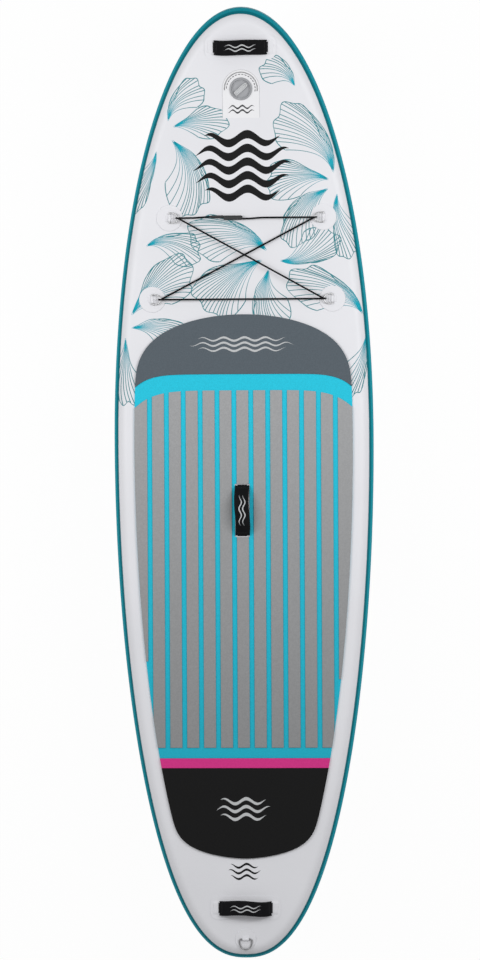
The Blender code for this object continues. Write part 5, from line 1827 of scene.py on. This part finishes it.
# %% Valve spring
COIL_WIRE, COIL_TURNS, TRAVEL, BUTTON_UNDER = 0.0009, 3, 0.008, -0.0105
coil_low, coil_high = web + COIL_WIRE / 2 + GAP, BUTTON_UNDER - COIL_WIRE / 2 - GAP
turn = 2 * np.pi * np.arange(36 * COIL_TURNS + 1) / 36
coil_radius = hub + COIL_WIRE + 0.0008
line = np.stack([coil_radius * np.cos(turn), coil_radius * np.sin(turn),
                 np.linspace(coil_low, coil_high, len(turn))], -1)
coil = lofted("valve_coil", flat_to(valve_seat, tube_rings(line, COIL_WIRE / 2, 12)), "flat",
              steel, "stainless", replaces=["valve_spring"])
foot = valve_seat @ Vector((0, 0, web + GAP))
1 - TRAVEL / (coil_high - coil_low)
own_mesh(coil)
print("valve spring", round((coil_high - coil_low) * 1000, 1), "mm tall")

# %% Valve cap
GASKET, CAP_PLATE, PLUG_DEPTH = 0.0012, 0.0030, 0.005
under = GASKET + GAP
plate = under + CAP_PLATE
plug, plug_low = MOUTH - PLAY, -LEDGE - GAP - PLUG_DEPTH
profile = [
    (1e-7, plug_low), (plug - 0.001, plug_low), (plug - 0.0003, plug_low + 0.0003),
    (plug, plug_low + 0.001), (plug, under), (CAP_R - 0.0004, under), (CAP_R, under + 0.0004),
    (CAP_R, plate - 0.0006), (CAP_R - 0.0003, plate + 0.0002), (CAP_R - 0.0009, plate + 0.0006),
    (CAP_R - 0.0016, plate + 0.0006), (CAP_R - 0.0022, plate + 0.0002),
    (CAP_R - 0.0028, plate - 0.0022), (1e-7, plate - 0.0024),
]
turned("valve_lid", cap_seat, profile, "open", valve_grey, "valve_grey", body="valve_cap",
       replaces=["valve_cap"])
ring_of_ribs("valve_lid_ribs", cap_seat, valve_grey, "valve_grey", "valve_cap", Count=72,
             Radius=CAP_R - 0.0002, Height=under + 0.0014, Size=(0.0009, 0.0012, 0.0022), Sides=8)
BAR_TURN, BAR_LONG, BAR_WIDE = math.radians(42), 0.0240, 0.0070
bar_rings = []
turn = turns(64)
for shrink, height in (
    (0.0, plate - 0.0030), (0.0, plate + 0.0030), (0.0003, plate + 0.0038),
    (0.0009, plate + 0.0044), (0.0017, plate + 0.0045), (0.0026, plate + 0.0041),
    (0.0032, plate + 0.0020), (0.0036, plate - 0.0008), (0.0050, plate - 0.0010),
):
    x = (BAR_LONG - shrink) * powered(np.cos(turn), 5)
    y = (BAR_WIDE - shrink) * powered(np.sin(turn), 5)
    bar_rings.append(np.stack([x, y, turn * 0 + height], -1))
bar_seat = cap_seat @ Matrix.Rotation(BAR_TURN, 4, "Z")
shape = skin(flat_to(bar_seat, bar_rings), "flat")
# Painted highlight: the bar takes the lighter copy of the valve grey
piece("valve_lid_bar", *shape, bar_grey, "valve_grey", body="valve_cap", sharp=50)
print("valve cap from", len(profile), "profile points")

# %% [markdown]
# ## Fins
# The centre fin is a moulded blade on a tab that slides in a channel. Two flexible fins are glued
# beside it. A blade is a loft of thin sections that sweep back and shrink towards a round tip.

# %% Fin helpers
BOX_MOUTH, CHANNEL_DEPTH, CHANNEL_WIDTH, FIN_PLAY = GAP + 0.0290, 0.0245, 0.0102, 0.0004
TAB_LENGTH, TONGUE_LENGTH, TONGUE_HEIGHT = 0.120, 0.030, 0.005


def fin_section(depth, middle, chord, thickness, power, shift=0.0):
    """A level section: a foil with its thick end ahead for power 2, else a rounded slab."""
    turn = turns(64)
    taper = 1 - 0.4 * np.cos(turn) if power == 2 else 1.0
    x = shift + thickness / 2 * powered(np.sin(turn), power) * taper
    return np.stack([x, middle + chord / 2 * powered(np.cos(turn), power), turn * 0 + depth], -1)


def blade(root, depth, middle, chord, sweep, thickness, lean=0.0):
    rings = []
    for share in np.sin(np.linspace(0, math.pi / 2, 40)) ** 1.1:
        full = chord * (1 - 0.42 * share) * math.sqrt(1 - 0.995 * share**5)
        thick = thickness * (1 - 0.6 * share) * (1 - 0.7 * max(0.0, share - 0.96) / 0.04)
        place = middle + sweep * share**1.5
        shift = depth * share * math.tan(lean)
        rings.append(fin_section(root + depth * share, place, full, thick, 2, shift))
    return rings


def shells(seat, *lofts):
    """Several closed lofts as the points and faces of one piece."""
    return joined(skin(flat_to(seat, rings), "flat") for rings in lofts)


def refined(name, node, material, slot, **fit):
    """A copy of a CAD node with its triangles merged into faces and its edges softened."""
    work = bmesh.new()
    work.from_mesh(frame["nodes"][node].data)
    bmesh.ops.remove_doubles(work, verts=work.verts, dist=1e-6)
    bmesh.ops.dissolve_limit(work, angle_limit=math.radians(2), verts=work.verts, edges=work.edges)
    mesh = bpy.data.meshes.new(name)
    work.to_mesh(mesh)
    work.free()
    return dress(name, mesh, material, slot, replaces=[node], sharp=40, **fit)


print("fin sections of", len(fin_section(0, 0, 1, 1, 2)), "points")


# %% Centre fin
SCREW_AHEAD, FIN_EDGE = 0.060, 0.0005
screw_place, screw_axis = joint_place("fin_screw_turn")
aft = joint_place("centre_fin_slide")[1]
fin_seat = frame_of(
    screw_place + aft * SCREW_AHEAD - screw_axis * BOX_MOUTH, x_axis, aft, screw_axis
)
tab_thick = CHANNEL_WIDTH - 2 * FIN_PLAY
tab_top = BOX_MOUTH - CHANNEL_DEPTH + 3 * FIN_PLAY
root = BOX_MOUTH + 0.0006
tab = [fin_section(h, TONGUE_LENGTH / 2, TAB_LENGTH - s, tab_thick - s, 12)
       for h, s in ((tab_top, 2 * FIN_EDGE), (tab_top + FIN_EDGE, 0), (root + FIN_EDGE, 0))]
tongue_length = TONGUE_LENGTH + 2 * FIN_PLAY
tongue_aft = -(TAB_LENGTH + TONGUE_LENGTH) / 2 + TONGUE_LENGTH / 2 + FIN_PLAY
tongue_low = BOX_MOUTH - TONGUE_HEIGHT
tongue = [fin_section(h, tongue_aft, tongue_length - s, tab_thick - s, 14)
          for h, s in ((tongue_low, 2 * FIN_EDGE), (tongue_low + FIN_EDGE, 0),
                       (BOX_MOUTH - FIN_EDGE, 0), (BOX_MOUTH, 2 * FIN_EDGE))]
foil = blade(root, 0.205, 0.035, 0.160, 0.085, 0.0090)
shape = shells(fin_seat, tab, tongue, foil)
piece("centre_fin_blade", *shape, fin_black, "fin_black", body="centre_fin",
      replaces=["centre_fin"])
refined("fin_channel_box", "fin_box", fin_black, "fin_black", bevel=0.0005)
refined("fin_nut_plate", "fin_plate_nut", brass, "brass", body="centre_fin", bevel=0.0003)

screw_seat = frame_of(screw_place, x_axis, aft, screw_axis)
SHANK_END, KNOB = -0.0135 - 0.0015 - 0.002, 0.0077
profile = [
    (1e-7, SHANK_END), (0.0017, SHANK_END), (0.0021, SHANK_END + 0.0005), (0.0021, 0.0006),
    (KNOB - 0.0005, 0.0006), (KNOB, 0.0011), (KNOB, 0.0061), (KNOB - 0.0007, 0.0070),
    (0.0045, 0.0070), (0.0040, 0.0064), (1e-7, 0.0064),
]
turned("fin_thumb_knob", screw_seat, profile, "open", steel, "stainless", body="fin_thumb_screw",
       replaces=["fin_thumb_screw"])
ring_of_ribs("fin_thumb_knurl", screw_seat, steel, "stainless", "fin_thumb_screw", Count=40,
             Radius=0.00765, Height=0.0036, Size=(0.0007, 0.0008, 0.0044), Sides=6)
print("centre fin", len(foil), "sections")

# %% Side fins
SIDE_STATION, SIDE_X, SIDE_LEAN = np.float64(TAIL_TIP + 0.368), 0.190, math.radians(6)
SIDE_CHORD, SIDE_THICK, SIDE_DEPTH, SIDE_SWEEP = 0.115, 0.006, 0.112, 0.055
FOOT_LONG, FOOT_WIDE, tall = 0.170, 0.036, 0.0022
FOOT_STEPS = ((0, 0.998), (0.5, 1.0), (0.85, 0.985), (1, 0.955))
for side, sign in (("left", -1), ("right", 1)):
    lean = float(pitch(SIDE_STATION))
    origin = Vector(hull_points(sign * SIDE_X, SIDE_STATION, -HALF))
    seat = Matrix.Translation(origin) @ Matrix.Rotation(lean + math.pi, 4, "X")
    flange = [fin_section(GAP + tall * h, 0, FOOT_LONG * s, FOOT_WIDE * s, 3)
              for h, s in FOOT_STEPS]
    fillet = [fin_section(GAP + tall * (1 + 0.35 * k), 0, SIDE_CHORD * (1.16 - 0.04 * k),
                          SIDE_THICK * (2.4 - 0.55 * k), 3) for k in range(4)]
    foil = blade(GAP + tall * 2.4 - 0.002, SIDE_DEPTH, 0.0, SIDE_CHORD, SIDE_SWEEP, SIDE_THICK,
                 sign * SIDE_LEAN)
    shape = shells(seat, flange, fillet, foil)
    name = f"side_fin_{side}"
    piece(f"{name}_blade", *shape, fin_black, "fin_black", replaces=[name], sharp=45)
print("fins", 3)

# %% [markdown]
# ## What lies inside
# The drop-stitch core, the inner parts of the valve and the pin of the fin keep their CAD shapes,
# and get procedural finishes like the rest.

# %% Inner nodes
INNER = {
    "drop_stitch_core": core_fabric, "valve_nut": valve_dark, "valve_stem": valve_dark,
    "valve_seal": seal_rubber, "valve_gasket": seal_rubber, "fin_pin": brass,
}
for node, material in INNER.items():
    for place in frame["nodes"][node].material_slots:
        place.material = material
print("inner nodes", len(INNER))

# %% [markdown]
# ## Small prints
# Plain waves are printed on the deck, the panels, the grips and the valve's label, each print in
# one ink. A wave is a brush stroke: a sine line that thins out at both ends. Each stroke is a thin
# slab that lies on the surface.


# %% Wave shapes
def stroke(centre, span, thick, swing, crests, shift):
    """One wavy brush stroke, as rows of (x, station) points."""
    rows = []
    for t in np.linspace(-1, 1, 72):
        half = thick / 2 * max(0.02, 1 - abs(t) ** 3)
        y = centre[1] + swing * math.sin(math.pi * crests * t + shift)
        rows.append([(centre[0] + t * span / 2, y + half * v) for v in (1, 0, -1)])
    return np.array(rows)


def waves(centre, width, height, count, fill, crests):
    """Strokes one over another, shorter towards the top and the bottom."""
    strokes = []
    step = height / count
    for k in range(count):
        off = (k - (count - 1) / 2) * step
        span = width * math.sqrt(1 - (off / (height * 0.62)) ** 2)
        place = (centre[0], centre[1] + off)
        strokes.append(stroke(place, span, step * fill, step * 0.33, crests * span / width, 0.7))
    return strokes


def printed(name, bits, low, thick, ink, slot, surface=on_deck):
    """Bits of ink on a surface, as one piece."""
    shape = joined(slab_on_deck(rows, low, low + thick, surface) for rows in bits)
    return piece(name, *shape, ink, slot, sharp=80)


print("one stroke has", len(stroke((0, 0), 1, 1, 1, 1, 0)), "rows")


# %% Prints
INK, THIN_INK = 0.0002, 0.00015
DECK_LIFT, PAD_LIFT, GRIP_LIFT = 0.00006, PAD_TOP + 0.00003, 0.00005
PRINTS = (
    ("deck_waves", DECK_LIFT, black_ink, ((0.002, 0.988), 0.300, 0.205, 5, 0.62, 2.6)),
    ("tail_waves", DECK_LIFT, black_ink, ((-0.003, -1.180), 0.100, 0.052, 3, 0.42, 2.0)),
    ("arch_waves", PAD_LIFT, pale_ink, ((-0.004, 0.441), 0.320, 0.048, 3, 0.42, 5.0)),
    ("panel_waves", PAD_LIFT, pale_ink, ((-0.006, -0.988), 0.165, 0.072, 3, 0.42, 2.4)),
)
for name, low, ink, form in PRINTS:
    printed(name, waves(*form), low, INK, ink, "black_foam" if ink == black_ink else "white_pvc")


def on_face(face):
    """The surface function of one grip, for printing on it."""
    return lambda u, v, lift: np.array([face(a, b, lift) for a, b in zip(u, v)])


small = waves((0.0, 0.0), 0.104, 0.022, 2, 0.34, 2.6)
for name, face in grip_faces.items():
    printed(f"{name}_grip_waves", small, GRIP_LIFT, THIN_INK, pale_ink, "white_pvc",
            on_face(face))
print("waves printed", len(PRINTS) + len(grip_faces))

# %% [markdown]
# The label is a sheet with a straight rear edge and an arched front, opened for the valve's tube.
# A grey band along its outline is painted shade at the sheet's edge. The ticks of its scale come
# from the rib tree, drawn very flat.

# %% Valve label
VALVE_STATION = NOSE_TIP - 0.230
LABEL_HALF, LABEL_REAR, LABEL_LOW, LABEL_TOP = 0.0565, 0.086, 0.00008, 0.00030
LABEL_LIFT, EDGE_SHADE_THICK, EDGE_SHADE_SHARE = 0.00031, 0.00012, 0.985
label_rows = []
for station in np.concatenate([
    np.linspace(VALVE_STATION - LABEL_REAR, VALVE_STATION, 12)[:-1],
    VALVE_STATION + LABEL_HALF * np.sin(np.radians(np.linspace(0, 88, 24))),
]):
    beyond = max(0.0, station - VALVE_STATION)
    half = math.sqrt(LABEL_HALF**2 - beyond**2)
    label_rows.append([(x, station) for x in np.linspace(-half, half, 25)])
label_mesh = opened("valve_label", slab_on_deck(label_rows, LABEL_LOW, LABEL_TOP), [valve_way])
dress("valve_label", label_mesh, label_white, "white_pvc", sharp=60)
edges = [row[0] for row in label_rows] + [row[-1] for row in label_rows[::-1]]
# Painted shade: a grey band just inside the label's outline stands for the shade at the sheet's
# edge
edge_shade_band = [[(x, y), (x * EDGE_SHADE_SHARE, VALVE_STATION + (y - VALVE_STATION) * EDGE_SHADE_SHARE)]
       for x, y in edges]
printed("label_hem", [edge_shade_band], LABEL_LIFT, EDGE_SHADE_THICK, hem_ink, "webbing")
strokes = waves((0.0, VALVE_STATION - 0.060), 0.088, 0.026, 2, 0.42, 3.0)
printed("label_waves", strokes, LABEL_LIFT, THIN_INK, grey_ink, "black_foam")
for number, radius, count, size in (
    (1, 0.0496, 44, (0.0040, 0.0026, 0.0002)), (2, 0.0432, 15, (0.0021, 0.0076, 0.0002)),
):
    ring_of_ribs(f"label_ticks_{number}", valve_seat, grey_ink, "black_foam", Count=count,
                 Radius=radius, Start=-0.12, Sweep=math.pi + 0.24, Height=-SEAT + 0.00052,
                 Size=size, Sides=10)
print("label", len(label_mesh.polygons), "faces")

# %% [markdown]
# ## Stage
# The photograph has a plain white ground with soft shadows. The floor glows for the camera and for
# reflections, so that it comes out white, and still takes a little shadow as paper does. Two broad
# lamps at the sides and a pale sky light the board.

# %% Floor, sky and lamps
GLOW_SHARE, SKY_SEEN, SKY_LIGHT, FLOOR_HALF = 0.96, 1.0, 0.41, 30
SOFTBOX_SIZE, SOFTBOX_WATTS = (1.0, 2.2), {-1: 47.0, 1: 53.0}
SOFTBOX_PLACE, SOFTBOX_AIM = (2.1, 0.85, 3.0), Vector((0, 0.45, 0.35))

flat = [(x * FLOOR_HALF, y * FLOOR_HALF, 0) for x, y in ((-1, -1), (1, -1), (1, 1), (-1, 1))]
floor_mesh = mesh_of("floor", flat, [(0, 1, 2, 3)])
floor = placed("floor", floor_mesh)


def looked_at(nodes):
    """One for the camera's rays and for those that a mirror or a pane sends on."""
    straight = nodes.node("ShaderNodeLightPath", out="Is Camera Ray")
    reflected = straight.math("MAXIMUM", straight.beside("Is Glossy Ray"))
    return reflected.math("MAXIMUM", straight.beside("Is Transmission Ray"))


def mostly_white(name):
    """Seen straight or in a reflection it is nearly white, and it still takes shadows."""
    made = bpy.data.materials.new(name)
    made.use_nodes = True
    made.node_tree.nodes.clear()
    nodes = Nodes(made.node_tree)
    seen = looked_at(nodes)
    paper = nodes.node("ShaderNodeBsdfDiffuse", {"Color": (0.9, 0.9, 0.9, 1)})
    glow = nodes.node("ShaderNodeEmission", {"Color": (1, 1, 1, 1), "Strength": 1.0})
    both = nodes.node("ShaderNodeMixShader", {0: seen * GLOW_SHARE, 1: paper, 2: glow})
    nodes.node("ShaderNodeOutputMaterial", {"Surface": both})
    return made


floor_mesh.materials.append(mostly_white("floor_paper"))

world = bpy.data.worlds.new("studio")
bpy.context.scene.world = world
world.use_nodes = True
sky = Nodes(world.node_tree)
strength = looked_at(sky) * (SKY_SEEN - SKY_LIGHT) + SKY_LIGHT
backdrop = world.node_tree.nodes["Background"]
backdrop.inputs["Color"].default_value = (1, 1, 1, 1)
world.node_tree.links.new(strength.socket, backdrop.inputs["Strength"])

for side, watts in SOFTBOX_WATTS.items():
    data = bpy.data.lights.new(f"softbox_{side}", "AREA")
    data.shape = "RECTANGLE"
    data.size, data.size_y = SOFTBOX_SIZE
    data.energy = watts
    lamp = placed(data.name, data)
    lamp.location = (side * SOFTBOX_PLACE[0], *SOFTBOX_PLACE[1:])
    lamp.rotation_euler = (SOFTBOX_AIM - lamp.location).to_track_quat("-Z", "Y").to_euler()
print("floor, sky and", len(SOFTBOX_WATTS), "lamps")

# %% Last update
bpy.context.view_layer.update()
